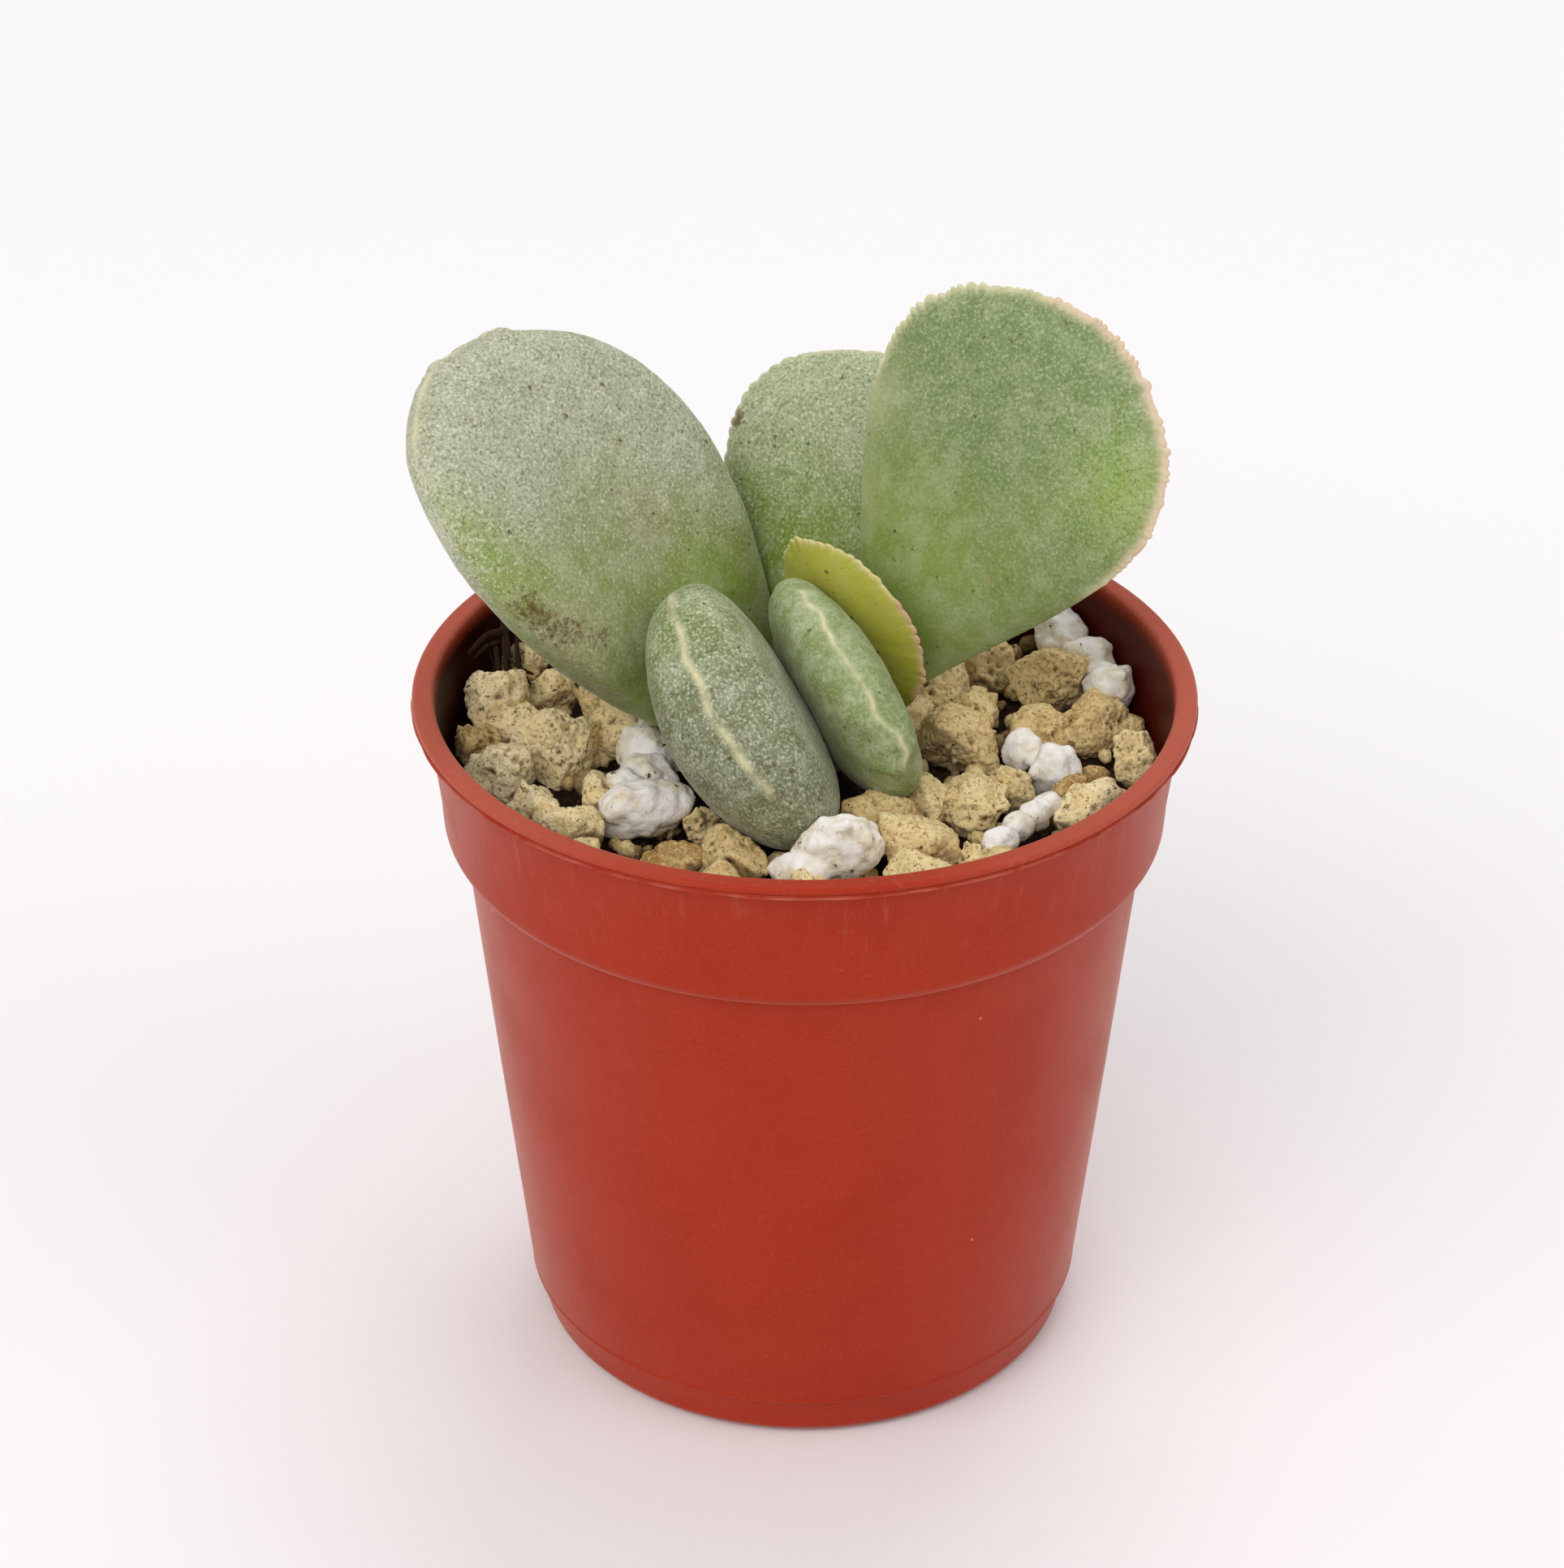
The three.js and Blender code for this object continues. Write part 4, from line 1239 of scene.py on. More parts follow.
        swell = self.foot_thickness + (1 - self.foot_thickness) * smoothstep(
            along / self.full_thickness_at)
        half = self.thickness / 2 * np.clip(1 - ring ** self.face_fall, 0, 1) ** self.fullness * swell
        lift = self.bend * self.length * along ** 2 + self.cup * self.width * (
            x / (self.width / 2)) ** 2
        level = self.wander(share, inward, lift)
        local = np.stack([x, y, face * half + level], axis=1)
        points = local @ self.basis() + np.array(self.base) + CROWN
        move_points(piece, points)
        edit_whole(piece, bpy.ops.mesh.normals_make_consistent, inside=False)
        margin = self.from_margin(local, polar, share)
        horn = self.stretch(share, (self.horn.start, self.horn.end))
        bead = np.exp(-(margin / self.horn.width) ** 2) * horn
        hump = self.humps.at(local, self.seed) * smoothstep(margin, 0, self.humps_from_margin)
        hump += self.dimples.at(local, self.seed) * smoothstep(margin, 0, self.dimples_from_margin)
        points = points_of(piece)
        points += normals_of(piece) * (hump + self.horn.height * bead)[:, None]
        for neighbour in neighbours:
            neighbour.press(points, self.clearance)
        move_points(piece, points)
        self.paint(piece, along, x / (self.width / 2), face, share, margin)
        return settle(piece, self.name)

    def wander(self, share: np.ndarray, inward: np.ndarray, lift: np.ndarray) -> np.ndarray:
        """Lets the crest of the margin stray a little to either side of the blade's plane.

        Args:
            share: Places round the margin.
            inward: Distance of each place from the margin.
            lift: Height of the blade's middle surface over its plane.

        Returns:
            The height with the straying added.
        """
        turn = 2 * math.pi * share
        place = np.stack([np.sin(turn), np.cos(turn), 0 * share], axis=1)
        stray = self.horn.wander * self.crest.at(place * self.crest_turns, self.seed)
        return lift + stray * np.exp(-inward / self.crest_depth)

    def from_margin(self, local: np.ndarray, polar: np.ndarray, share: np.ndarray) -> np.ndarray:
        """Measures each vertex's distance from the margin over the skin.

        Args:
            local: The vertices in the leaf's own frame.
            polar: Angle of each from the top of the ball that the leaf was shaped from.
            share: Place of each round the margin.

        Returns:
            The distances in millimetres.
        """
        row = np.rint(polar / math.pi * self.rings).astype(int)
        column = np.rint(share * self.segments).astype(int) % self.segments
        grid = np.zeros((self.rings + 1, self.segments, 3))
        grid[row, column] = local
        grid[0] = local[row == 0]
        grid[-1] = local[row == self.rings]
        steps = np.linalg.norm(np.diff(grid, axis=0), axis=2)
        middle = self.rings // 2
        total = np.zeros((self.rings + 1, self.segments))
        total[middle + 1:] = np.cumsum(steps[middle:], axis=0)
        total[:middle] = np.cumsum(steps[:middle][::-1], axis=0)[::-1]
        return total[row, column]

    def paint(
        self, piece: bpy.types.Object, along: np.ndarray, across: np.ndarray, face: np.ndarray,
        share: np.ndarray, margin: np.ndarray,
    ) -> None:
        """Stores the marks: the general run of wax and green, the horn, then each patch.

        Args:
            piece: The leaf.
            along: Each vertex's share of the length.
            across: Its place between the margins, -1 to 1.
            face: 1 on the upper face, -1 on the lower one and 0 on the margin.
            share: Its place round the margin.
            margin: Its distance from the margin.
        """
        points = points_of(piece)
        drift = self.drift.at(points, self.seed)
        marks = {mark: np.zeros(len(along)) for mark in Mark}
        bloom, horn = self.bloom, self.horn
        run = along - bloom.lean * across + drift
        marks[Mark.BLOOM] += between((bloom.foot, bloom.tip), smoothstep(run, *self.bloom_run))
        marks[Mark.GREY] += smoothstep(run, bloom.green_to, bloom.grey_from)
        marks[Mark.DEEP] += self.deep_share * smoothstep(
            run, bloom.green_to, bloom.green_to - bloom.deepens)
        edge = np.exp(-(margin / (self.horn_spread * horn.width)) ** 2)
        worn = 1 - horn.broken * (0.5 + self.horn_wear.at(points, self.seed))
        marks[Mark.HORN] += horn.strength * edge * worn * self.stretch(share, (horn.start, horn.end))
        marks[Mark.BLUSH] += self.blush_share * edge * self.stretch(share, horn.blush)
        for patch in self.patches:
            far = np.hypot(
                (along - patch.along) * self.length, (across - patch.across) * self.width / 2)
            soft = np.exp(-(far * (1 + drift) / patch.radius) ** 2) * (face == patch.side.value)
            marks[patch.mark] += patch.strength * soft
        for mark, values in marks.items():
            mark_points(piece, mark.value, values)


@dataclass
class Plant:
    """The plant: a short stem with its swollen root, and leaves with their skins and slots."""

    leaves: list[tuple[Leaf, WaxyLeafSkin, str]]
    stem_profile: tuple[Ring, ...] = (
        (0, -22.5), (1.3, -21.4), (3.4, -16.5), (4.4, -11), (3.4, -6),
        (2.3, -3.2), (2.2, 0), (1.9, 1.8), (1.1, 2.9), (0, 3.2))
    stem_rings: int = 46
    stem_segments: int = 48
    stem_bark: Relief = Relief(0.12, 1.1, 31, 3)
    bark_drawn_out: Place = (1, 1, 0.35)
    bark_tone: float = 0.8

    def build_stem(self) -> bpy.types.Object:
        """Draws up the stem and roughens its dry skin.

        Returns:
            The stem, with a number per vertex for its fibres.
        """
        rows = np.array(self.stem_profile)
        profile = sampled(rows, np.linspace(0, len(rows) - 1, self.stem_rings)).tolist()
        stem = lathe("stem_and_root", profile, self.stem_segments)
        points = points_of(stem)
        rough = self.stem_bark.at(points * self.bark_drawn_out)
        points += normals_of(stem) * rough[:, None] + CROWN
        move_points(stem, points)
        mark_points(stem, "fibre", self.bark_tone + rough)
        return stem

    def build(self) -> list[Neighbour]:
        """Builds the stem and the leaves, each pressed clear of those before it.

        Returns:
            The leaves, as neighbours of the top dressing.
        """
        stem = self.build_stem()
        hand_over(
            stem, FibrousBark("dry_stem_skin", "#4b3b28", "#8a744f").make(), ["stem"])
        neighbours = [Neighbour.of(stem)]
        for leaf, skin, slot in self.leaves:
            piece = leaf.build(neighbours)
            hand_over(piece, skin.make(), [leaf.name.removesuffix("_blade")])
            neighbours.append(Neighbour.of(piece))
        return neighbours


def leaves_of_the_plant() -> list[tuple[Leaf, WaxyLeafSkin, str]]:
    """Describes the six leaves as they stand in the photograph.

    Returns:
        Each leaf with its skin and the record's slot, front ones first.
    """
    front_left = Leaf(
        name="leaf_front_left_blade", base=(-3.0, -2.8, 0.1), heading=-113, rise=33, roll=47,
        length=16.0, width=20.1, thickness=9.1, outline=(0.76, 0.44), fullness=0.38,
        bend=0.07, cup=0.05, skew=0.06, foot=1.6,
        teeth=Teeth(0.1, 16, 0.2, 0.8), horn=Horn(0.21, 0.15, 0.31, 0.61, 0.95, 0.26, 0.5),
        bloom=Bloom(0.6, 1.0, 0.1, 0.65), segments=384, rings=56, seed=11,
        patches=(
            Patch(Mark.GREY, Side.UPPER, 0.62, 0.5, 4.0, 0.3),
            Patch(Mark.DEEP, Side.UPPER, 0.85, 0.75, 4.5, 0.35),
            Patch(Mark.DEEP, Side.LOWER, 0.85, 0.75, 4.5, 0.4),
            Patch(Mark.STAIN, Side.LOWER, 0.72, -0.6, 2.6, 0.4),
            Patch(Mark.STAIN, Side.UPPER, 0.14, 0.89, 1.6, 0.25),
            Patch(Mark.STAIN, Side.LOWER, 0.9, 0.6, 1.6, 0.4)))
    front_right = Leaf(
        name="leaf_front_right_blade", base=(1.3, -2.0, -0.6), heading=-85, rise=60, roll=65,
        length=13.7, width=18.2, thickness=5.6, outline=(0.9, 0.5), fullness=0.41,
        bend=-0.04, cup=0.01, skew=0.01, foot=1.5,
        teeth=Teeth(0.1, 16, 0.2, 0.8), horn=Horn(0.19, 0.12, 0.38, 0.68, 0.95, 0.42, 0.5),
        bloom=Bloom(0.4, 0.8, 0.1, 0.7), segments=384, rings=56, seed=23)
    right = Leaf(
        name="leaf_right_blade", base=(2.0, 0.1, 0.4), heading=4, rise=61, roll=-52,
        length=35.1, width=23.7, thickness=5.0, outline=(1.66, 0.61), fullness=0.65,
        bend=0.02, cup=0.05, skew=-0.01, foot=1.6,
        teeth=Teeth(0.24, 66, 0.27, 0.74, 1.0),
        horn=Horn(0.42, 0.05, 0.25, 0.72, 0.95, 0.1, 0.2, (0.28, 0.56)),
        bloom=Bloom(0.2, 1.0, 0.34, 0.7, 0.0, 0.34), segments=800, rings=52, seed=37,
        patches=(
            Patch(Mark.DEEP, Side.UPPER, 0.78, 0.75, 4.0, 0.3),
            # Horn-coloured bands just inside both margins: painted sheen along the rims.
            Patch(Mark.HORN, Side.UPPER, 0.3, 0.8, 2.0, 0.3),
            Patch(Mark.HORN, Side.UPPER, 0.45, 0.98, 2.0, 0.3),
            Patch(Mark.HORN, Side.UPPER, 0.4, -0.75, 2.5, 0.35),
            Patch(Mark.HORN, Side.UPPER, 0.6, -0.95, 3.0, 0.35),
            Patch(Mark.TAN, Side.UPPER, 0.46, 0.32, 0.35, 1.0)))
    left = Leaf(
        name="leaf_left_blade", base=(-3.2, 2.3, -2.0), heading=187, rise=53, roll=-139,
        length=37.6, width=22.7, thickness=7.0, outline=(0.96, 0.52), fullness=0.33,
        bend=0.05, cup=-0.11, skew=-0.03, foot=1.6,
        teeth=Teeth(0.26, 8, 0.5, 0.59, 0.6), horn=Horn(0.28, 0.06, 0.39, 0.6, 0.8, 0.2, 0.6),
        bloom=Bloom(0.25, 1.0, 0.35, 0.8, 0.15, 0.25), segments=512, rings=64, seed=41,
        patches=(
            Patch(Mark.STAIN, Side.LOWER, 0.67, 0.88, 2.4, 0.5),
            Patch(Mark.STAIN, Side.LOWER, 0.57, 0.86, 2.6, 0.53),
            Patch(Mark.STAIN, Side.LOWER, 0.48, 0.68, 2.6, 0.53),
            Patch(Mark.TAN, Side.LOWER, 0.55, 0.84, 4.0, 0.5),
            Patch(Mark.TAN, Side.LOWER, 0.53, -0.2, 2.4, 0.5),
            Patch(Mark.TAN, Side.LOWER, 0.84, 0.93, 1.6, 0.8),
            Patch(Mark.DEEP, Side.LOWER, 0.87, 0.86, 2.6, 0.5),
            Patch(Mark.DEEP, Side.LOWER, 0.75, 0.85, 3.6, 0.55),
            Patch(Mark.DEEP, Side.LOWER, 0.62, 0.7, 3.0, 0.3),
            Patch(Mark.DEEP, Side.LOWER, 0.36, -0.25, 3.6, 0.6),
            Patch(Mark.STAIN, Side.LOWER, 0.70, -0.36, 1.3, 0.42),
            Patch(Mark.STAIN, Side.LOWER, 0.55, -0.22, 1.8, 0.45),
            Patch(Mark.STAIN, Side.LOWER, 0.66, -0.15, 1.2, 0.42)))
    back = Leaf(
        name="leaf_back_blade", base=(1.0, 3.2, 0.4), heading=78, rise=68, roll=-172,
        length=25.1, width=19.4, thickness=4.6, outline=(1.04, 0.44), fullness=0.6,
        bend=0.02, cup=-0.02, skew=0, foot=1.6,
        teeth=Teeth(0.15, 40, 0.2, 0.8, 0.6), horn=Horn(0.28, 0.05, 0.24, 0.76, 0.75, 0.1, 0.4),
        bloom=Bloom(0.5, 1.0, 0.35, 0.85), segments=560, rings=48, seed=53,
        patches=(
            Patch(Mark.STAIN, Side.LOWER, 0.78, 0.93, 1.3, 0.85),
            Patch(Mark.DEEP, Side.LOWER, 0.35, 0.4, 6.0, 0.8)))
    young = Leaf(
        name="leaf_young_blade", base=(3.0, -0.6, 2.0), heading=149, rise=80, roll=107,
        length=13.4, width=13.1, thickness=1.8, outline=(0.44, 0.45), fullness=0.6,
        bend=0.13, cup=-0.05, skew=0.01, foot=1.0,
        teeth=Teeth(0.22, 36, 0.12, 0.88, 0.6),
        horn=Horn(0.22, 0.05, 0.1, 0.9, 0.8, 0.08, 0.3, (0.1, 0.34)),
        bloom=Bloom(0.1, 0.3, 0.0, 0.8), segments=448, rings=40, seed=67)
    waxy = WaxyLeafSkin("waxy_leaf_skin")
    smooth = WaxyLeafSkin(
        "waxy_leaf_skin_smooth", deep="#b1cd39", green="#83954b", grey="#788a55", wax_and_glint="#bcc5a1",
        shade="#5a6c31", wax_glint_share=0.5, shade_share=0.55, glint_bead_share=0.4,
        specks=Fleck(0.6, 0.36, 5.0), blotches=Cloud(2.2, 0.36, 0.72, 0.3))
    sage = WaxyLeafSkin(
        "waxy_leaf_skin_sage", deep="#838632", green="#888c41", grey="#89965d", wax_and_glint="#c8d0b1",
        shade="#5f6d38", sheen=0.22, wax_glint_share=0.4, shade_share=0.5, glint_bead_share=0.3,
        specks=Fleck(0.6, 0.36, 2.6), blotches=Cloud(1.6, 0.36, 0.72, 0.5))
    worn = WaxyLeafSkin(
        "waxy_leaf_skin_worn", green="#6f7643", grey="#7e8361", shade="#4b5230", glint_bead_share=0.45,
        specks=Fleck(0.6, 0.36, 2.8), blotches=Cloud(2.0, 0.36, 0.72, 0.3))
    shaded = WaxyLeafSkin(
        "waxy_leaf_skin_shaded", deep="#748c2a", green="#7a8c42", grey="#9fa780", wax_and_glint="#d6dbbe")
    fresh = WaxyLeafSkin(
        "young_leaf_skin", deep="#8f8b15", green="#949519", grey="#bab84b", wax_and_glint="#c8c582",
        shade="#75751c", horn="#dccb9c", blush="#cf9f80", sheen=0.1, wax_glint_share=0.3, shade_share=0.3,
        specks=Fleck(0.6, 0.36, 3.5))
    return [
        (front_left, worn, "leaf_waxy"), (front_right, sage, "leaf_waxy"),
        (right, smooth, "leaf_waxy"), (left, waxy, "leaf_waxy"), (back, shaded, "leaf_waxy"),
        (young, fresh, "leaf_young")]


@dataclass
class NurseryPot:
    """Round nursery pot: lip with a parting edge, collar, rounded step, tapering body and foot
    band."""

    height: float = 51.4
    rim_radius: float = 27.44
    lip_depth: float = 0.8
    lip_round: float = 0.34
    lip_inner_round: float = 0.4
    parting_edge: float = 0.06
    groove: float = 0.17
    wall: float = 0.6
    collar_top_radius: float = 26.5
    collar_middle: Ring = (25.98, 46.4)
    collar_foot: Ring = (25.5, 42.0)
    collar_bead: float = 0.06
    step_round: float = 1.25
    body_top: Ring = (24.2, 40.7)
    body_middle: Ring = (22.35, 22.0)
    band_top: Ring = (20.25, 3.5)
    band_step: float = 0.12
    band_bead: float = 0.06
    foot_radius: float = 19.6
    foot_round: float = 0.9
    foot_gap: float = 0.25
    foot_ring: float = 2.2
    ring_round: float = 0.15
    floor_underside: float = 1.2
    floor_top: float = 2.0
    floor_corner: float = 0.9
    segments: int = 192
    drain_radius: float = 1.9
    drain_ring_radius: float = 11.5
    drain_count: int = 6
    drain_sides: int = 32
    inner_taper: float = 0.093
    inner_rings: tuple[float, ...] = (50.6, 50.0, 49.0, 47.8, 46.2, 44.4)
    wobble: Relief = Relief(0.04, 14, 71, 2)
    wobble_drawn_out: Place = (1, 1, 0.6)
    wobble_from: Span = (6, 30)
    shrinkage: float = 0.04
    parting_above: float = 0.06
    parting_inward: float = 0.1
    nicks: Relief = Relief(0.1, 0.8, 73, 2)
    nick_proud: float = 0.02
    nick_width: float = 0.1
    rub_width: float = 0.09
    rub_wear: Relief = Relief(1.0, 1.5, 79, 3)
    edge_rub: float = 0.4
    # Painted reflection on the lip's top: its strength, the heights where it starts and is full, and
    # the shares of the rim's radius, sideways, where it starts and is full.
    lip_highlight: float = 0.25
    lip_highlight_from: Span = (50.8, 51.2)
    lip_highlight_sideways: Span = (0.1, 0.9)
    # Painted shade on the inner wall: the depths below the rim where it starts and is full, its
    # strength at the left and at the right, and the places across between which it changes.
    inner_shade_from: Span = (0.1, 1.4)
    stain: Span = (1.0, 0.85)
    left_shade_between: Span = (-5, 18)

    def foot_rings(self) -> list[Ring]:
        """Draws the raised underside, the foot ring and the rounded foot.

        Returns:
            The rings, from the axis outwards.
        """
        ring, below, small = self.foot_radius - self.foot_ring, self.floor_underside, self.ring_round
        foot, rounding, gap = self.foot_radius, self.foot_round, self.foot_gap
        return [
            (0, below), (ring - 0.4, below), (ring - 0.1, small),
            *arc((ring + 0.1, small), small, 225, 270, 2),
            (foot - 1.5 * rounding, 0), (foot - 1.45 * rounding, 0.5 * gap),
            *arc((foot - rounding, rounding + gap), rounding, 270, 360, 6),
        ]

    def band_rings(self) -> list[Ring]:
        """Draws the step over the foot band, with its bead.

        Returns:
            The rings, from below.
        """
        seam, top = self.band_top
        under, over = seam - self.band_step, seam + self.band_step
        bead = over + self.band_bead
        return [
            (under - 0.02, top - 0.12), (under + 0.02, top), (over - 0.04, top + 0.06),
            (bead, top + 0.16), (bead, top + 0.26), (over + 0.03, top + 0.4),
            (over + 0.08, top + 0.6),
        ]

    def collar_rings(self) -> list[Ring]:
        """Draws the body, the rounded step over it with its bead, and the collar.

        Returns:
            The rings, from below.
        """
        radius, top = self.body_top
        foot, above = self.collar_foot
        return [
            self.body_middle, (radius - 0.03, top - 0.3), (radius + 0.05, top),
            *arc((radius + 0.05, top + self.step_round), self.step_round + self.collar_bead,
                 285, 360, 9),
            (foot + 0.12, above + 0.8), (foot + 0.15, above + 1.6), self.collar_middle,
        ]

    def lip_rings(self) -> list[Ring]:
        """Draws the lip: its underside, the parting edge, the groove and the rounded top.

        Returns:
            The rings, from below.
        """
        foot, collar, rim = self.height - self.lip_depth, self.collar_top_radius, self.rim_radius
        parting, groove, rounding = rim + self.parting_edge, rim - self.groove, self.lip_round
        return [
            (collar - 0.03, foot - 0.25), (collar + 0.06, foot - 0.05), (collar + 0.2, foot),
            (rim - 0.08, foot), (parting - 0.02, foot + 0.02), (parting, foot + 0.07),
            (rim - 0.04, foot + 0.13), (groove, foot + 0.2), (groove + 0.02, foot + 0.27),
            (rim - 0.03, foot + 0.36),
            *arc((rim - rounding, self.height - rounding), rounding, 0, 90, 6),
        ]

    def inner_side(self) -> list[Ring]:
        """Draws the inner face and the top of the floor.

        Returns:
            The rings, from the lip's top down to the axis.
        """
        rim, rounding = self.collar_top_radius - self.wall, self.lip_inner_round
        floor_wall = self.band_top[0] - self.wall - 0.08
        corner = self.floor_corner
        return [
            *arc((rim + rounding, self.height - rounding), rounding, 90, 180, 5),
            *[(rim - self.inner_taper * (self.height - z), z) for z in self.inner_rings],
            (self.collar_foot[0] - self.wall, self.collar_foot[1] + 0.2),
            (self.body_top[0] - self.wall, self.body_top[1] - 0.2),
            (floor_wall, self.floor_top + corner),
            *arc((floor_wall - corner, self.floor_top + corner), corner, 330, 270, 3),
            (0, self.floor_top),
        ]

    def build(self) -> None:
        """Draws up the pot, drills its drain holes and wears its edges a little."""
        profile = self.foot_rings() + self.band_rings() + self.collar_rings() + self.lip_rings()
        pot = lathe("nursery_pot", profile + self.inner_side(), self.segments)
        for i in range(self.drain_count):
            self.drill(pot, 2 * math.pi * i / self.drain_count)
        drawn = points_of(pot)
        points = self.warp(drawn)
        move_points(pot, points)
        inside = self.wear(pot, drawn, points)
        settle(pot, "nursery_pot")
        hand_over(pot, MouldedPolypropylene().make(), ["pot"])
        # The inner faces take a second material without sheen, where the painted shade shows.
        pot.data.materials.append(MouldedPolypropylene("inner_wall_polypropylene", sheen=0.0).make())
        for face in pot.data.polygons:
            face.material_index = int(inside[list(face.vertices)].min() > 0)

    def drill(self, pot: bpy.types.Object, angle: float) -> None:
        """Cuts one drain hole through the floor.

        Args:
            pot: The pot.
            angle: Where the hole lies round the axis, in radians.
        """
        deselect()
        ring = self.drain_ring_radius * MM
        bpy.ops.mesh.primitive_cylinder_add(
            vertices=self.drain_sides, radius=self.drain_radius * MM, depth=2 * self.floor_top * MM,
            location=(ring * math.cos(angle), ring * math.sin(angle), self.floor_top * MM))
        drill = bpy.context.object
        apply_modifier(pot, "BOOLEAN", operation="DIFFERENCE", object=drill, solver="EXACT")
        bpy.data.objects.remove(drill)

    def parting(self, drawn: np.ndarray, width: float) -> np.ndarray:
        """Weight of the lip's parting edge.

        Args:
            drawn: The pot's vertices as they were drawn up.
            width: How far the weight reaches up and down, in millimetres.

        Returns:
            A weight for each vertex, 1 on the edge.
        """
        edge = self.height - self.lip_depth + self.parting_above
        outside = from_axis(drawn) > self.rim_radius - self.parting_inward
        return np.exp(-((drawn[:, 2] - edge) / width) ** 2) * outside

    def warp(self, drawn: np.ndarray) -> np.ndarray:
        """Makes the wall a little uneven and nicks the parting edge.

        Args:
            drawn: The pot's vertices as they were drawn up.

        Returns:
            Their new places.
        """
        wobble = self.wobble.at(drawn * self.wobble_drawn_out) * smoothstep(
            drawn[:, 2], *self.wobble_from)
        nick = np.minimum(self.nicks.at(drawn), self.nick_proud)
        nick *= self.parting(drawn, self.nick_width)
        grow = 1 + (wobble - self.shrinkage + nick) / np.maximum(from_axis(drawn), 1)
        points = drawn.copy()
        points[:, :2] *= grow[:, None]
        return points

    def wear(self, pot: bpy.types.Object, drawn: np.ndarray, points: np.ndarray) -> np.ndarray:
        """Stores the painted shade down the inner wall, how rubbed the parting edge is and the
        painted reflection on the lip's top.

        Args:
            pot: The pot.
            drawn: Its vertices as they were drawn up.
            points: The same vertices where they are now.

        Returns:
            How far inside the wall each vertex lies, 0 outside and at the lip, 1 further down.
        """
        normals, height = normals_of(pot), points[:, 2]
        # Painted shade: the inner wall turns dark from just below the rim downwards.
        inside = smoothstep(self.height - height, *self.inner_shade_from) * (height > self.floor_top)
        inside *= normals[:, 0] * points[:, 0] + normals[:, 1] * points[:, 1] < 0
        # The painted shade is strongest at the left, under the left leaf's shadow, and a little
        # weaker at the right.
        stained = between(self.stain, smoothstep(points[:, 0], *self.left_shade_between))
        mark_points(pot, "damp", inside * stained)
        nicked = self.parting(drawn, self.rub_width)
        nicked *= self.edge_rub * np.clip(0.5 + self.rub_wear.at(points), 0, 1)
        # Painted reflection: the lip's top turns paler towards its left and right sides.
        sideways = np.abs(points[:, 0]) / self.rim_radius
        lip_lit = self.lip_highlight * smoothstep(height, *self.lip_highlight_from) * smoothstep(
            sideways, *self.lip_highlight_sideways)
        mark_points(pot, "scuff", np.maximum(nicked, lip_lit))
        return inside


@dataclass(frozen=True)
class Stone:
    """A broken stone: its centre, its size across, deep and high, a turn in degrees, how far its
    colour runs from pale (0) to ochre (1), and how often the ball it is cut from is divided."""

    at: Place
    size: Place
    turn: float
    tone: float = 0.4
    detail: int = 5


@dataclass(frozen=True)
class Scatter:
    """Spots strewn over a stone's skin: their radii, the power that keeps most of them small, and
    the steps between the seeds that their places and radii are drawn from."""

    radii: Span
    rarity: int
    step: float
    seeds: Span

    def spots(self, shape: np.ndarray, seed: int, count: int) -> Iterator[tuple[np.ndarray, float]]:
        """Draws the spots.

        Args:
            shape: The stone's points.
            seed: The stone's seed.
            count: How many spots to draw.

        Yields:
            The middle and the radius of each spot.
        """
        for i in range(count):
            own = seed + self.step * i
            middle = shape[int(draw(own + self.seeds[0]) * len(shape))]
            yield middle, between(self.radii, draw(own + self.seeds[1]) ** self.rarity)


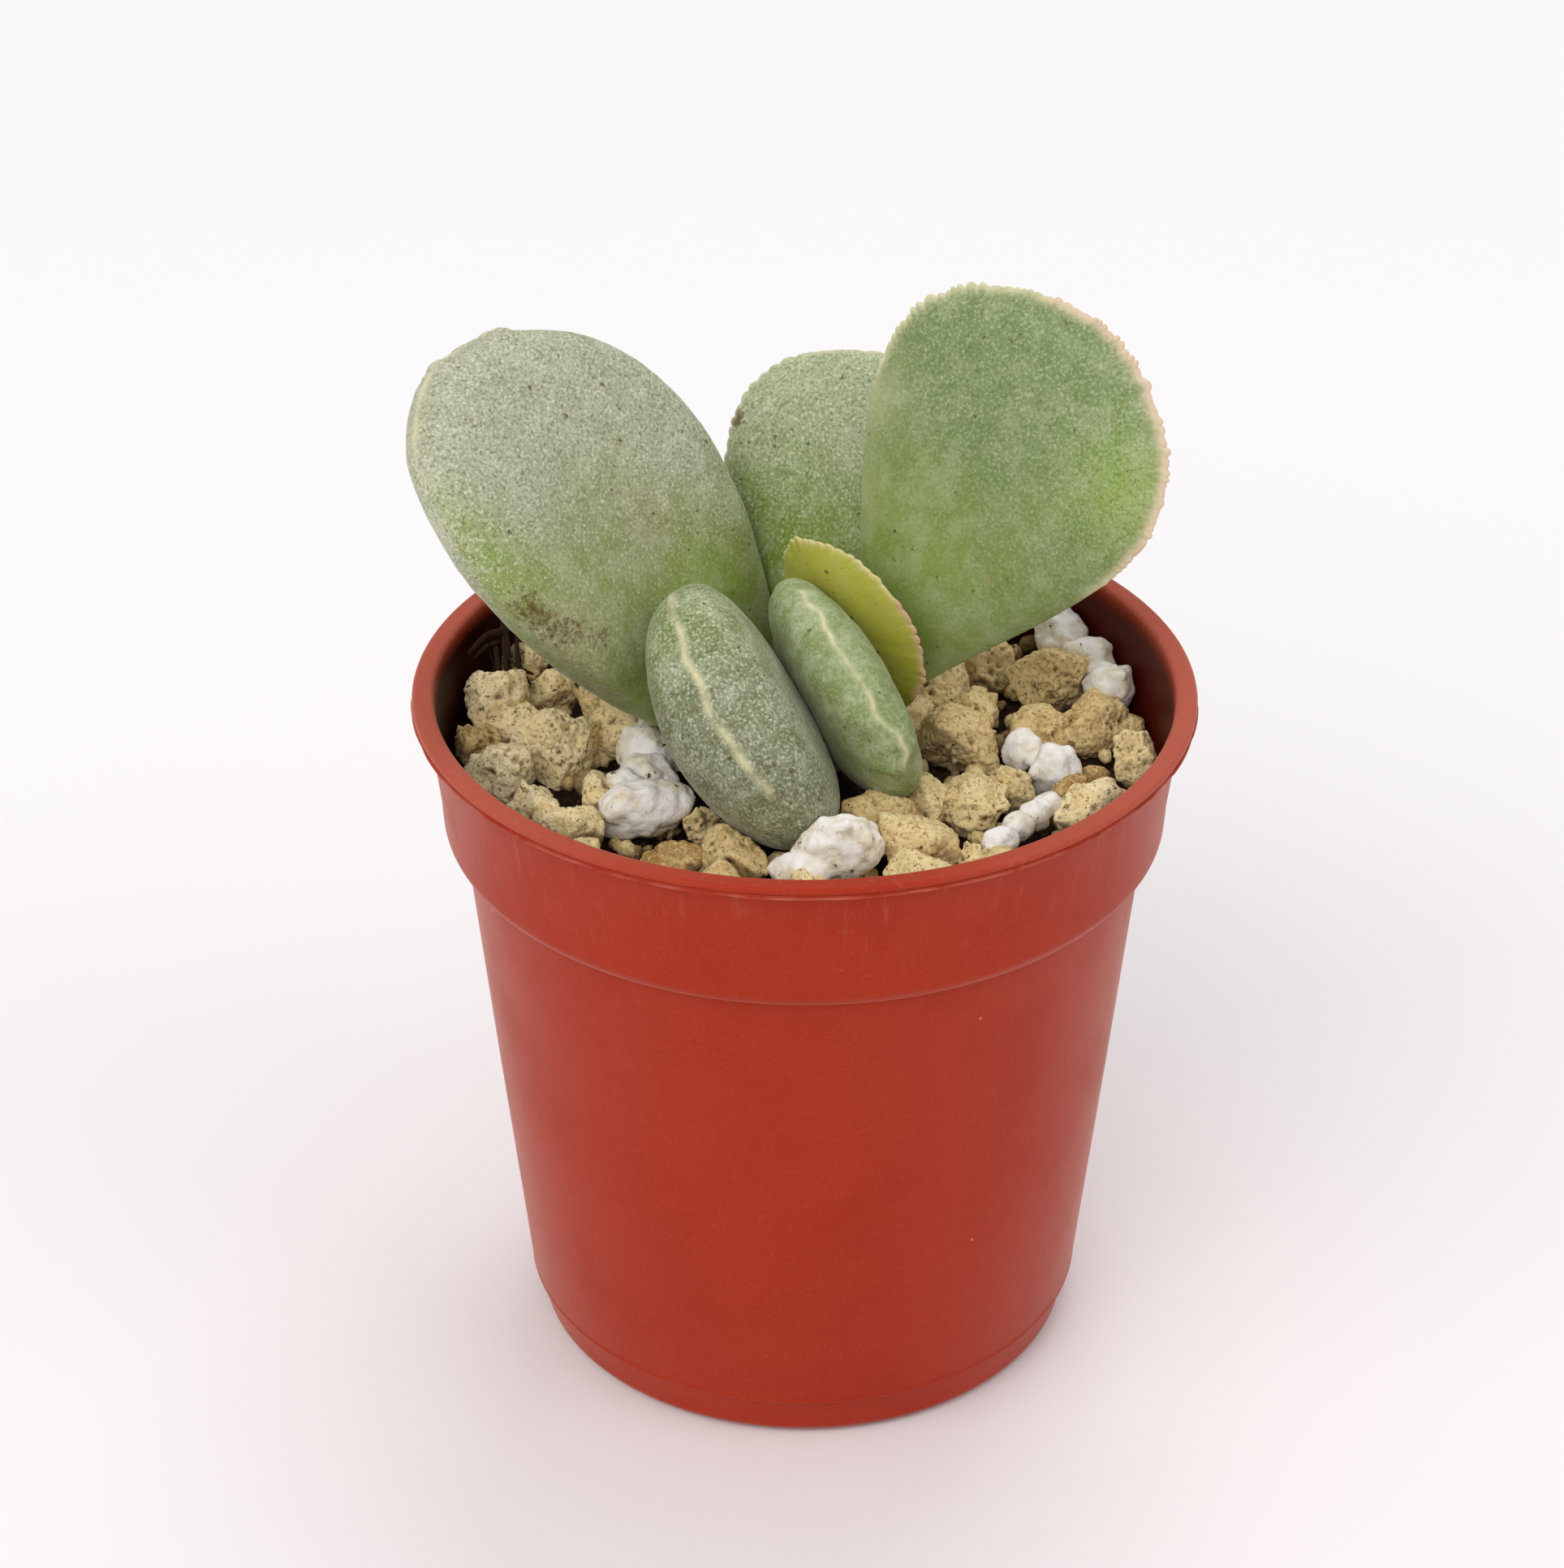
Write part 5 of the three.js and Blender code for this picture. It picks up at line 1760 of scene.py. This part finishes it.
@dataclass
class StoneCutter:
    """Shapes stones from a ball that is pulled in to cleavage planes, bitten and roughened."""

    planes: int = 12
    edge: float = 15
    golden_angle: float = 2.399963
    swing: float = 1.6
    reach: Span = (0.7, 1.1)
    plane_step: int = 7
    reach_step: int = 3
    lumps: Relief = Relief(0.2, 2.0, 0, 2)
    crags: Relief = Relief(2.0, 1.3, 3, 2)
    crag_height: float = 0.12
    crumbs: Knobs = Knobs(0.16, 0.5, 0.6, 5)
    grit: Relief = Relief(0.08, 0.3, 7)
    fine_crumbs: Knobs = Knobs(0.12, 0.3, 0.5, 9)
    bites: Scatter = Scatter((0.7, 1.4), 1, 0.53, (0.31, 0.41))
    bite_count: int = 4
    bite_depth: float = 0.42
    bite_full: float = 0.45
    bite_edge: Relief = Relief(0.35, 0.8, 11, 2)
    pores: Scatter = Scatter((0.14, 0.5), 3, 0.37, (0.11, 0.21))
    pores_per_mm: float = 9.0
    pore_depth: float = 0.7
    pore_shade: float = 0.8
    pore_dark: Span = (0.2, 0.8)
    pore_edge: Relief = Relief(0.3, 0.35, 13)
    balls: dict[int, bpy.types.Object] = field(default_factory=dict)

    def ball(self, detail: int) -> bpy.types.Object:
        """Copies the unit ball of a fineness, which is modelled once.

        Args:
            detail: How often the ball is divided.

        Returns:
            The copy.
        """
        if detail not in self.balls:
            deselect()
            bpy.ops.mesh.primitive_ico_sphere_add(subdivisions=detail, radius=1)
            self.balls[detail] = bpy.context.object
        return copy_of(self.balls[detail])

    def clear_away(self) -> None:
        """Removes the balls that the stones were copied from."""
        for ball in self.balls.values():
            bpy.data.objects.remove(ball)
        self.balls.clear()

    def pull(self, directions: np.ndarray, seed: float) -> np.ndarray:
        """Finds how far the broken surface lies from the middle.

        Args:
            directions: Unit vectors from the middle.
            seed: Seed of the cleavage planes.

        Returns:
            The distance in each direction.
        """
        total = np.zeros(len(directions))
        for k in range(self.planes):
            own = seed + self.plane_step * k
            z = 1 - (2 * k + 1) / self.planes
            angle = self.golden_angle * k + self.swing * draw(own)
            flat = math.sqrt(1 - z * z)
            normal = np.array([flat * math.cos(angle), flat * math.sin(angle), z])
            reach = between(self.reach, draw(own + self.reach_step))
            total += np.maximum(0, directions @ normal / reach) ** self.edge
        return total ** (-1 / self.edge)

    def cut(self, stone: Stone, seed: int) -> bpy.types.Object:
        """Shapes one stone, with its rough skin and open pores.

        Args:
            stone: The stone.
            seed: Seed of its planes, roughness and pores.

        Returns:
            The piece, with its tone and hollows per vertex.
        """
        piece = self.ball(stone.detail)
        directions = points_of(piece) * MM
        directions /= np.linalg.norm(directions, axis=1)[:, None]
        shape = directions * self.pull(directions, seed)[:, None]
        low, high = shape.min(axis=0), shape.max(axis=0)
        shape = (shape - (low + high) / 2) / (high - low) * np.array(stone.size)
        rough = self.lumps.at(shape, seed)
        rough += self.crag_height * (1 - np.abs(self.crags.at(shape, seed)))
        rough += self.crumbs.at(shape, seed)
        rough += self.grit.at(shape, seed) + self.fine_crumbs.at(shape, seed)
        rough -= self.bite(shape, seed)
        across = sum(stone.size) / 3
        dark, deep = self.open_pores(shape, int(self.pores_per_mm * across), seed)
        shape += directions * (rough - deep)[:, None]
        turn = math.radians(stone.turn)
        spin = np.array([
            [math.cos(turn), math.sin(turn), 0], [-math.sin(turn), math.cos(turn), 0], [0, 0, 1]])
        points = shape @ spin + np.array(stone.at)
        move_points(piece, points)
        mark_points(piece, "tone", np.full(len(points), stone.tone))
        # The pores' painted shade.
        mark_points(piece, "hollow", dark)
        return piece

    def bite(self, shape: np.ndarray, seed: int) -> np.ndarray:
        """Scoops a stone where lumps have broken out of its skin.

        Args:
            shape: The stone's points about its own middle.
            seed: Seed of where the scoops lie.

        Returns:
            The depth of the scoops at each point.
        """
        deep = np.zeros(len(shape))
        ragged = self.bite_edge.at(shape, seed)
        for centre, radius in self.bites.spots(shape, seed, self.bite_count):
            far = np.linalg.norm(shape - centre, axis=1) / radius + ragged
            deep = np.maximum(deep, self.bite_depth * radius * smoothstep(far, 1.0, self.bite_full))
        return deep

    def open_pores(
        self, shape: np.ndarray, count: int, seed: int,
    ) -> tuple[np.ndarray, np.ndarray]:
        """Opens ragged pores in a stone's skin, most of them small.

        Args:
            shape: The stone's points about its own middle.
            count: How many pores to open.
            seed: Seed of where the pores lie.

        Returns:
            How dark each point is painted with the pore's shade, 0 to 1, and how far it is sunk.
        """
        dark = np.zeros(len(shape))
        deep = np.zeros(len(shape))
        ragged = self.pore_edge.at(shape, seed)
        for centre, radius in self.pores.spots(shape, seed, count):
            near = np.clip(1 - np.linalg.norm(shape - centre, axis=1) / radius + ragged, 0, 1)
            near *= near > np.maximum(ragged, 0)
            deep = np.maximum(deep, self.pore_depth * radius * near * (2 - near))
            dark = np.maximum(dark, self.pore_shade * smoothstep(near, *self.pore_dark))
        return dark, deep


@dataclass
class TopDressing:
    """Pumice, grit and perlite over a crumbly dark bed, inside the pot's wall."""

    bed_top: float = 42.4
    bed_foot: float = 42.0
    bed_dish: float = 2.6
    bed_reach: float = 25.0
    bed_tilt: float = 0.45
    bed_radius: float = 24.3
    bed_side: tuple[float, ...] = (0.5, 1.0)
    bed_start: float = 1.2
    bed_parts_at: float = 0.7
    bed_least: float = 0.2
    bed_rings: int = 64
    bed_segments: int = 256
    bed_lumps: Relief = Relief(0.35, 1.6, 5, 3)
    bed_crumbs: Knobs = Knobs(0.35, 1.1, 0.5, 8)
    first_seed: int = 1
    seed_step: int = 50
    rear_from: float = 8.0
    wall_inner: tuple[Ring, Ring] = ((24.6, 42.2), (25.6, 51.0))
    clearance: float = 0.1
    press_reach: float = 3.0
    # Most stones at the left take tones near 0, the cream end of the ramp: partly their own paler
    # colour, partly painted light under the left leaf's shade.
    placed: tuple[Stone, ...] = (
        Stone((-22.2, 6.2, 46.5), (5.0, 4.4, 4.4), 10, -0.02),
        Stone((-20.9, 4.6, 45.2), (5.0, 4.0, 3.8), -15, 0.03),
        Stone((-23.2, 1.8, 45.5), (3.4, 3.6, 3.4), 0, 0.75),
        Stone((-21.7, -1.7, 45.1), (4.8, 4.8, 4.8), 25, -0.02),
        Stone((-17.4, 2.1, 44.6), (6.7, 6.0, 6.2), 5, 0.08, 6),
        Stone((-18.6, 9.4, 45.2), (4.0, 3.8, 3.8), 40, 0.13),
        Stone((-14.1, 8.0, 44.8), (4.6, 3.8, 3.4), 0, 0.6),
        Stone((-18.6, -6.9, 45.0), (3.9, 3.7, 3.8), -30, 0.03),
        Stone((-16.1, -9.3, 45.0), (4.8, 4.2, 4.2), 15, 0.08),
        Stone((-14.1, -4.8, 44.9), (2.8, 3.0, 3.8), 0, 0.13),
        Stone((-4.8, -12.3, 44.3), (5.4, 4.6, 4.0), -20, 0.6),
        Stone((-9.4, -12.6, 44.0), (5.0, 4.2, 3.4), 12, 0.9),
        Stone((-7.1, -7.8, 44.4), (2.6, 3.0, 3.4), 0, 0.4),
        Stone((-20.4, 12.0, 46.1), (3.2, 2.8, 3.6), 30, -0.02),
        Stone((7.8, -11.3, 44.6), (5.5, 4.8, 4.8), 0, 0.3),
        Stone((7.9, -5.2, 44.4), (5.8, 4.8, 4.6), 8, 0.25, 6),
        Stone((12.0, -5.1, 44.4), (4.9, 4.4, 4.5), -20, 0.25),
        Stone((11.1, 3.4, 44.6), (6.5, 5.4, 5.2), -12, 0.5, 6),
        Stone((12.1, 6.6, 44.9), (4.8, 4.2, 4.2), -35, 0.45),
        Stone((14.4, -3.1, 44.6), (3.1, 3.2, 3.8), 0, 0.4),
        Stone((17.9, 10.6, 45.8), (6.6, 5.4, 5.4), -8, 0.6, 6),
        Stone((13.2, 13.4, 44.9), (4.9, 4.6, 4.6), 20, 0.5),
        Stone((17.0, 4.0, 44.9), (4.6, 4.2, 4.4), 0, 0.6),
        Stone((20.5, 4.7, 44.9), (5.8, 4.8, 5.0), 15, 0.65, 6),
        Stone((23.2, -0.8, 45.5), (3.4, 3.6, 4.4), 20, 0.3),
        Stone((18.7, -4.6, 45.2), (2.9, 2.6, 3.0), 0, 0.9),
        Stone((19.5, -6.8, 45.0), (6.2, 4.0, 4.2), 32, 0.1),
        Stone((22.6, 4.4, 44.4), (3.8, 3.6, 3.2), 0, 0.6),
        Stone((11.2, -12.4, 44.2), (2.8, 2.8, 2.8), 45, 0.3),
    )
    perlite_nodes: tuple[str, ...] = (
        "perlite_left", "perlite_left_rear", "perlite_front", "perlite_right_rear",
        "perlite_right_middle", "perlite_right_small", "perlite_right_front", "perlite_rear",
        "perlite_rear_left")
    perlite_weld: float = 0.001
    perlite_voxel: float = 0.15
    perlite_smooth: float = 0.6
    perlite_smooth_times: int = 9
    perlite_swell: float = 0.1
    perlite_lobes: Knobs = Knobs(0.36, 1.7, 0.5, 61)
    perlite_froth: Knobs = Knobs(0.1, 0.7, 0.45, 67)
    perlite_lumps: Relief = Relief(0.16, 0.9, 69, 2)
    perlite_diagonal: float = 1.4
    fill_rings: tuple[tuple[float, int], ...] = ((22.0, 28), (18.2, 22), (13.8, 16), (9.4, 11))
    fill_size: Span = (5.4, 6.8)
    fill_shape: Place = (1, 0.9, 0.8)
    fill_rise: float = 0.5
    fill_sink: float = 0.24
    fill_swing: float = 0.5
    fill_spacing: float = 0.33
    fill_crown_clearance: float = 5
    fill_tone: Span = (0.2, 0.7)
    fill_seed: int = 400
    grain_count: int = 520
    grain_seed: int = 77
    grain_spread: Span = (0.02, 0.97)
    grain_size: Span = (0.7, 2.2)
    grain_shape: Span = (0.7, 1.1)
    grain_rise: float = 0.3
    grain_detail: int = 2
    grain_tone: Span = (0.1, 0.9)
    grain_hollow: float = 0.6
    grain_hollow_share: float = 0.35

    def bed_height(self, x: Amount, y: Amount) -> Amount:
        """Height of the dark bed between the stones, which is dished and lower at the front.

        Args:
            x: Place across.
            y: Place deep.

        Returns:
            The height there.
        """
        share = np.minimum(1, np.hypot(x, y) / self.bed_reach)
        rear = 1 - self.bed_tilt + self.bed_tilt * (y / self.bed_reach)
        return self.bed_top + self.bed_dish * share ** 2 * rear

    def fill(self, taken: list[Place]) -> list[Stone]:
        """Finds room for more pumice under the leaves and behind the plant.

        Args:
            taken: Place and size across of the stones that already lie there.

        Returns:
            The further stones, all clear of each other and of the crown.
        """
        stones: list[Stone] = []
        seed = self.fill_seed
        for radius, count in self.fill_rings:
            for i in range(count):
                seed += 1
                angle = 2 * math.pi * (i + self.fill_swing * draw(seed)) / count
                x, y = radius * math.cos(angle), radius * math.sin(angle)
                size = between(self.fill_size, draw(seed + 0.5))
                clear = math.hypot(x - CROWN[0], y - CROWN[1]) > self.fill_crown_clearance and all(
                    math.hypot(u - x, v - y) > self.fill_spacing * (across + size)
                    for u, v, across in taken)
                if clear:
                    height = self.bed_height(x, y) + self.fill_rise + self.fill_sink * size
                    shape = tuple(share * size for share in self.fill_shape)
                    tone = between(self.fill_tone, draw(seed + 0.75))
                    stones.append(Stone((x, y, height), shape, 360 * draw(seed + 0.25), tone))
                    taken.append((x, y, size))
        return stones

    def hold_in(self, points: np.ndarray, neighbours: Sequence[Neighbour]) -> None:
        """Presses points inside the pot's wall, above the mix and clear of the leaves.

        Args:
            points: Points in millimetres, changed in place.
            neighbours: The leaves.
        """
        (low_radius, low), (high_radius, high) = self.wall_inner
        wall = between((low_radius, high_radius), (points[:, 2] - low) / (high - low))
        shrink = np.minimum(1, (wall - self.clearance) / from_axis(points))
        points[:, :2] *= shrink[:, None]
        points[:, 2] = np.maximum(points[:, 2], self.bed_foot)
        for neighbour in neighbours:
            neighbour.press(points, self.clearance, self.press_reach)

    def build_bed(self) -> bpy.types.Object:
        """Draws up the crumbly dark surface that shows between the stones.

        Returns:
            The bed.
        """
        foot, edge, start = self.bed_foot, self.bed_radius, self.bed_foot + self.bed_start
        radii = np.linspace(edge, 0, self.bed_rings + 2)[1:-1]
        profile = [(0, foot), (edge, foot)] + [(edge, foot + rise) for rise in self.bed_side]
        profile += [(radius, start) for radius in radii] + [(0, start)]
        bed = lathe("peat_bed", profile, self.bed_segments)
        points = points_of(bed)
        top = points[:, 2] > foot + self.bed_parts_at
        crumbs = self.bed_lumps.at(points) + self.bed_crumbs.at(points)
        height = self.bed_height(points[:, 0], points[:, 1]) + crumbs
        points[:, 2] = np.where(top, np.maximum(height, foot + self.bed_least), points[:, 2])
        move_points(bed, points)
        return settle(bed, "peat_bed")

    def build_grains(self, cutter: StoneCutter, neighbours: Sequence[Neighbour]) -> bpy.types.Object:
        """Scatters fine grit over the bed.

        Args:
            cutter: Shapes the grains.
            neighbours: Leaves to keep clear of.

        Returns:
            The grit as one piece.
        """
        rng = np.random.default_rng(self.grain_seed)
        grains = []
        for i in range(self.grain_count):
            radius = self.bed_radius * math.sqrt(rng.uniform(*self.grain_spread))
            angle = rng.uniform(0, 2 * math.pi)
            x, y = radius * math.cos(angle), radius * math.sin(angle)
            size = between(self.grain_size, rng.random() ** 2)
            shape = size * rng.uniform(*self.grain_shape, 3)
            at = np.array([x, y, self.bed_height(x, y) + self.grain_rise * size])
            grain = cutter.ball(self.grain_detail)
            points = points_of(grain) * MM
            points *= cutter.pull(points / np.linalg.norm(points, axis=1)[:, None], i)[:, None]
            points = points * shape / 2 + at
            self.hold_in(points, neighbours)
            move_points(grain, points)
            tone = rng.uniform(*self.grain_tone)
            hollow = self.grain_hollow * (rng.random() < self.grain_hollow_share)
            mark_points(grain, "tone", np.full(len(points), tone))
            mark_points(grain, "hollow", np.full(len(points), hollow))
            grains.append(grain)
        return settle(join(grains), "pumice_grit")

    def build_perlite(self, node: str, neighbours: Sequence[Neighbour]) -> bpy.types.Object:
        """Rounds and froths the lumps of one cluster of perlite.

        Args:
            node: The solid of the model that the lumps are swelled from.
            neighbours: Leaves to keep clear of.

        Returns:
            The finished cluster.
        """
        piece = copy_of(frame["nodes"][node])
        piece.parent = None
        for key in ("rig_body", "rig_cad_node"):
            del piece[key]
        edit_whole(piece, bpy.ops.mesh.remove_doubles, threshold=self.perlite_weld * MM)
        apply_modifier(piece, "REMESH", mode="VOXEL", voxel_size=self.perlite_voxel * MM)
        apply_modifier(
            piece, "SMOOTH", factor=self.perlite_smooth, iterations=self.perlite_smooth_times)
        points = points_of(piece)
        froth = self.perlite_lobes.at(points) + self.perlite_froth.at(points)
        froth += self.perlite_lumps.at(points)
        points += normals_of(piece) * (froth + self.perlite_swell)[:, None]
        self.hold_in(points, neighbours)
        move_points(piece, points)
        return settle(piece, node + "_froth")

    def build_stones(
        self, cutter: StoneCutter, taken: list[Place], neighbours: Sequence[Neighbour],
    ) -> list[bpy.types.Object]:
        """Cuts the placed stones and those that fill up the room between them.

        Args:
            cutter: Shapes the stones.
            taken: Place and size across of what already lies there.
            neighbours: Leaves to keep clear of.

        Returns:
            The stones at the left, at the right and at the rear, a piece each.
        """
        groups: dict[str, list[bpy.types.Object]] = {}
        for i, stone in enumerate([*self.placed, *self.fill(taken)]):
            piece = cutter.cut(stone, self.first_seed + self.seed_step * i)
            points = points_of(piece)
            self.hold_in(points, neighbours)
            move_points(piece, points)
            x, y, _ = stone.at
            group = "rear" if y > self.rear_from else "left" if x < 0 else "right"
            groups.setdefault(group, []).append(piece)
        return [settle(join(pieces), f"pumice_{group}") for group, pieces in groups.items()]

    def build(self, neighbours: Sequence[Neighbour]) -> None:
        """Lays the bed, the perlite, the stones and the grit.

        Args:
            neighbours: Leaves to keep clear of.
        """
        cutter = StoneCutter()
        pumice = PorousPumice().make()
        hand_over(self.build_bed(), CrumblyPeat().make(), ["pumice_gravel"])
        taken = [(stone.at[0], stone.at[1], stone.size[0]) for stone in self.placed]
        perlite = ExpandedPerlite().make()
        for node in self.perlite_nodes:
            hand_over(self.build_perlite(node, neighbours), perlite, [node])
            low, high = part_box(node)
            middle = (low + high) / 2 / MM
            across = (high - low).xy.length / MM / self.perlite_diagonal
            taken.append((middle.x, middle.y, across))
        for stones in self.build_stones(cutter, taken, neighbours):
            hand_over(stones, pumice)
        hand_over(self.build_grains(cutter, neighbours), pumice)
        cutter.clear_away()


@dataclass
class PottingMix:
    """The mix that fills the pot: the model's own solid, which only shows through the holes in
    the pot's floor."""

    node: str = "potting_mix"

    def build(self) -> None:
        """Gives the solid its finish."""
        mix = frame["nodes"][self.node]
        mix.data.materials.clear()
        mix.data.materials.append(CrumblyPeat().make())
        LOG.info("%s: %d triangles", self.node, triangle_count(mix))


@dataclass(frozen=True)
class BarkStrip:
    """A torn strip: its breadth, its thickness and the route of its middle line."""

    broad: float
    thin: float
    route: tuple[Place, ...]


@dataclass
class Bark:
    """Shreds of bark at the left rear, against the pot's wall."""

    strips: tuple[BarkStrip, ...] = (
        BarkStrip(0.8, 0.5, (
            (-24.0, 7.2, 49.6), (-23.0, 9.4, 49.7), (-21.6, 11.6, 49.1), (-19.4, 14.2, 48.4))),
        BarkStrip(0.5, 0.4, (
            (-23.8, 7.6, 48.9), (-22.9, 9.2, 49.2), (-22.0, 10.8, 48.7), (-21.4, 12.2, 48.9))),
        BarkStrip(1.5, 0.8, (
            (-21.9, 12.4, 49.7), (-21.6, 11.0, 48.5), (-21.5, 9.7, 47.2), (-20.4, 8.2, 45.7))),
        BarkStrip(1.2, 0.6, (
            (-22.4, 11.4, 49.1), (-22.3, 9.9, 48.2), (-22.0, 8.9, 46.9), (-21.1, 7.9, 45.9))),
        BarkStrip(0.8, 0.5, (
            (-21.0, 13.0, 49.2), (-20.8, 11.2, 48.3), (-20.6, 10.0, 47.3), (-19.7, 8.8, 46.2))),
        BarkStrip(0.5, 0.4, (
            (-22.9, 10.4, 48.3), (-22.3, 9.6, 47.3), (-22.6, 8.3, 46.6), (-21.9, 7.0, 46.4))),
        BarkStrip(0.4, 0.3, (
            (-21.9, 10.9, 49.0), (-21.2, 9.5, 47.9), (-20.5, 9.1, 47.3), (-19.6, 8.9, 47.0))),
    )
    steps: int = 28
    sides: int = 20
    end_round: float = 0.3
    end_cut: float = 0.04
    fibres: Relief = Relief(0.25, 1.0, 0, 2)
    fibre_level: float = 0.75
    fibres_round: float = 4.0
    fibres_along: float = 0.18
    curl: Relief = Relief(1.0, 1.6, 0, 2)
    curl_reach: float = 0.12
    first_seed: int = 91
    seed_step: int = 10

    def build_strip(self, strip: BarkStrip, seed: int) -> bpy.types.Object:
        """Sweeps one strip along its route, split along its fibres.

        Args:
            strip: The strip.
            seed: Seed of its fibres and its curl.

        Returns:
            The strip, with a number per vertex for its fibres.
        """
        route = np.array(strip.route)
        line = sampled(route, np.linspace(0, len(route) - 1, self.steps))
        height = np.linspace(0, 1, self.steps)
        middle = np.clip(height, self.end_cut, 1 - self.end_cut)
        radii = np.sin(np.pi * middle) ** self.end_round
        profile = [(0, 0), *zip(radii.tolist(), height.tolist()), (0, 1)]
        piece = lathe("bark_strip", profile, self.sides)
        local = points_of(piece)
        place = np.clip(local[:, 2], 0, 1) * (self.steps - 1)
        centre = sampled(line, place)
        tangent = sampled(np.gradient(line, axis=0), place)
        tangent /= np.linalg.norm(tangent, axis=1)[:, None]
        outward = centre * [1, 1, 0]
        outward /= np.linalg.norm(outward, axis=1)[:, None]
        broadside = np.cross(tangent, outward)
        broadside /= np.linalg.norm(broadside, axis=1)[:, None]
        angle = np.arctan2(local[:, 1], local[:, 0])
        grain = np.stack([
            np.cos(angle) * self.fibres_round, np.sin(angle) * self.fibres_round,
            place * self.fibres_along], axis=1)
        fibres = self.fibre_level + self.fibres.at(grain, seed)
        points = centre + broadside * (local[:, 0] * fibres * strip.broad / 2)[:, None]
        points += outward * (local[:, 1] * fibres * strip.thin / 2)[:, None]
        curl = np.stack([self.curl.at(points, seed + k) for k in range(3)], axis=1)
        move_points(piece, points + self.curl_reach * curl)
        mark_points(piece, "fibre", fibres)
        return piece

    def build(self) -> None:
        """Builds the strips as one piece."""
        strips = [
            self.build_strip(strip, self.first_seed + self.seed_step * i)
            for i, strip in enumerate(self.strips)]
        hand_over(
            settle(join(strips), "bark_shreds"), FibrousBark().make(), ["bark_strips"])


@dataclass(frozen=True)
class Lamp:
    """A square soft box: its place and width in millimetres, and its power in watts."""

    at: Place
    size: float
    power: float


@dataclass
class Studio:
    """Plain pale floor, a white surround with soft boxes in front, at either side and behind, and
    a camera where the photograph was taken."""

    eye: Place = (-1.671, -262.503, 199.088)
    look_down: float = 30.726
    roll: float = -0.032
    focal_pixels: float = 5306.166
    picture_width: int = 1927
    sensor: float = 36.0
    sees: Span = (10.0, 20000.0)
    floor_size: float = 3000.0
    world_colour: str = "#ffffff"
    world_strength: float = 0.58
    lamps: tuple[Lamp, ...] = (
        Lamp((-500.0, -1500.0, 1500.0), 1200.0, 13.0),
        Lamp((-1300.0, -900.0, 1300.0), 1100.0, 7.0),
        Lamp((1400.0, -700.0, 1400.0), 1100.0, 5.0),
        Lamp((300.0, 1000.0, 1900.0), 1100.0, 10.0))
    aim_at: Place = (0.0, 0.0, 40.0)

    def build(self) -> None:
        """Sets up the floor, the light, the camera and plain colour handling."""
        scene = bpy.context.scene
        scene.view_settings.view_transform = "Standard"
        scene.view_settings.look = "None"
        self.lay_floor()
        self.light()
        scene.camera = self.set_camera()

    def lay_floor(self) -> None:
        """Lays the sheet of paper that the pot stands on."""
        deselect()
        bpy.ops.mesh.primitive_plane_add(size=self.floor_size * MM)
        floor = bpy.context.object
        floor.name = "studio_floor"
        floor.data.materials.append(MattPaper().make())

    def light(self) -> None:
        """Sets up the white surround and the soft boxes, each turned to the plant."""
        world = bpy.data.worlds.new("white_surround")
        bpy.context.scene.world = world
        world.use_nodes = True
        sky = world.node_tree.nodes["Background"]
        sky.inputs["Color"].default_value = linear(self.world_colour)
        sky.inputs["Strength"].default_value = self.world_strength
        for lamp in self.lamps:
            bpy.ops.object.light_add(type="AREA", location=[c * MM for c in lamp.at])
            light = bpy.context.object
            light.data.size = lamp.size * MM
            light.data.energy = lamp.power
            aim = Vector(self.aim_at) - Vector(lamp.at)
            light.rotation_euler = aim.to_track_quat("-Z", "Y").to_euler()

    def set_camera(self) -> bpy.types.Object:
        """Puts up the camera.

        Returns:
            The camera.
        """
        bpy.ops.object.camera_add(location=[c * MM for c in self.eye])
        camera = bpy.context.object
        camera.rotation_euler = (math.radians(90 - self.look_down), math.radians(self.roll), 0)
        camera.data.sensor_fit = "HORIZONTAL"
        camera.data.sensor_width = self.sensor
        camera.data.lens = self.sensor * self.focal_pixels / self.picture_width
        camera.data.clip_start, camera.data.clip_end = [reach * MM for reach in self.sees]
        return camera


def main() -> None:
    """Builds the studio and every sub-assembly in order."""
    logging.basicConfig(level=logging.INFO, format="%(name)s %(message)s")
    Studio().build()
    NurseryPot().build()
    PottingMix().build()
    neighbours = Plant(leaves_of_the_plant()).build()
    TopDressing().build(neighbours)
    Bark().build()


if __name__ == "__main__":
    main()
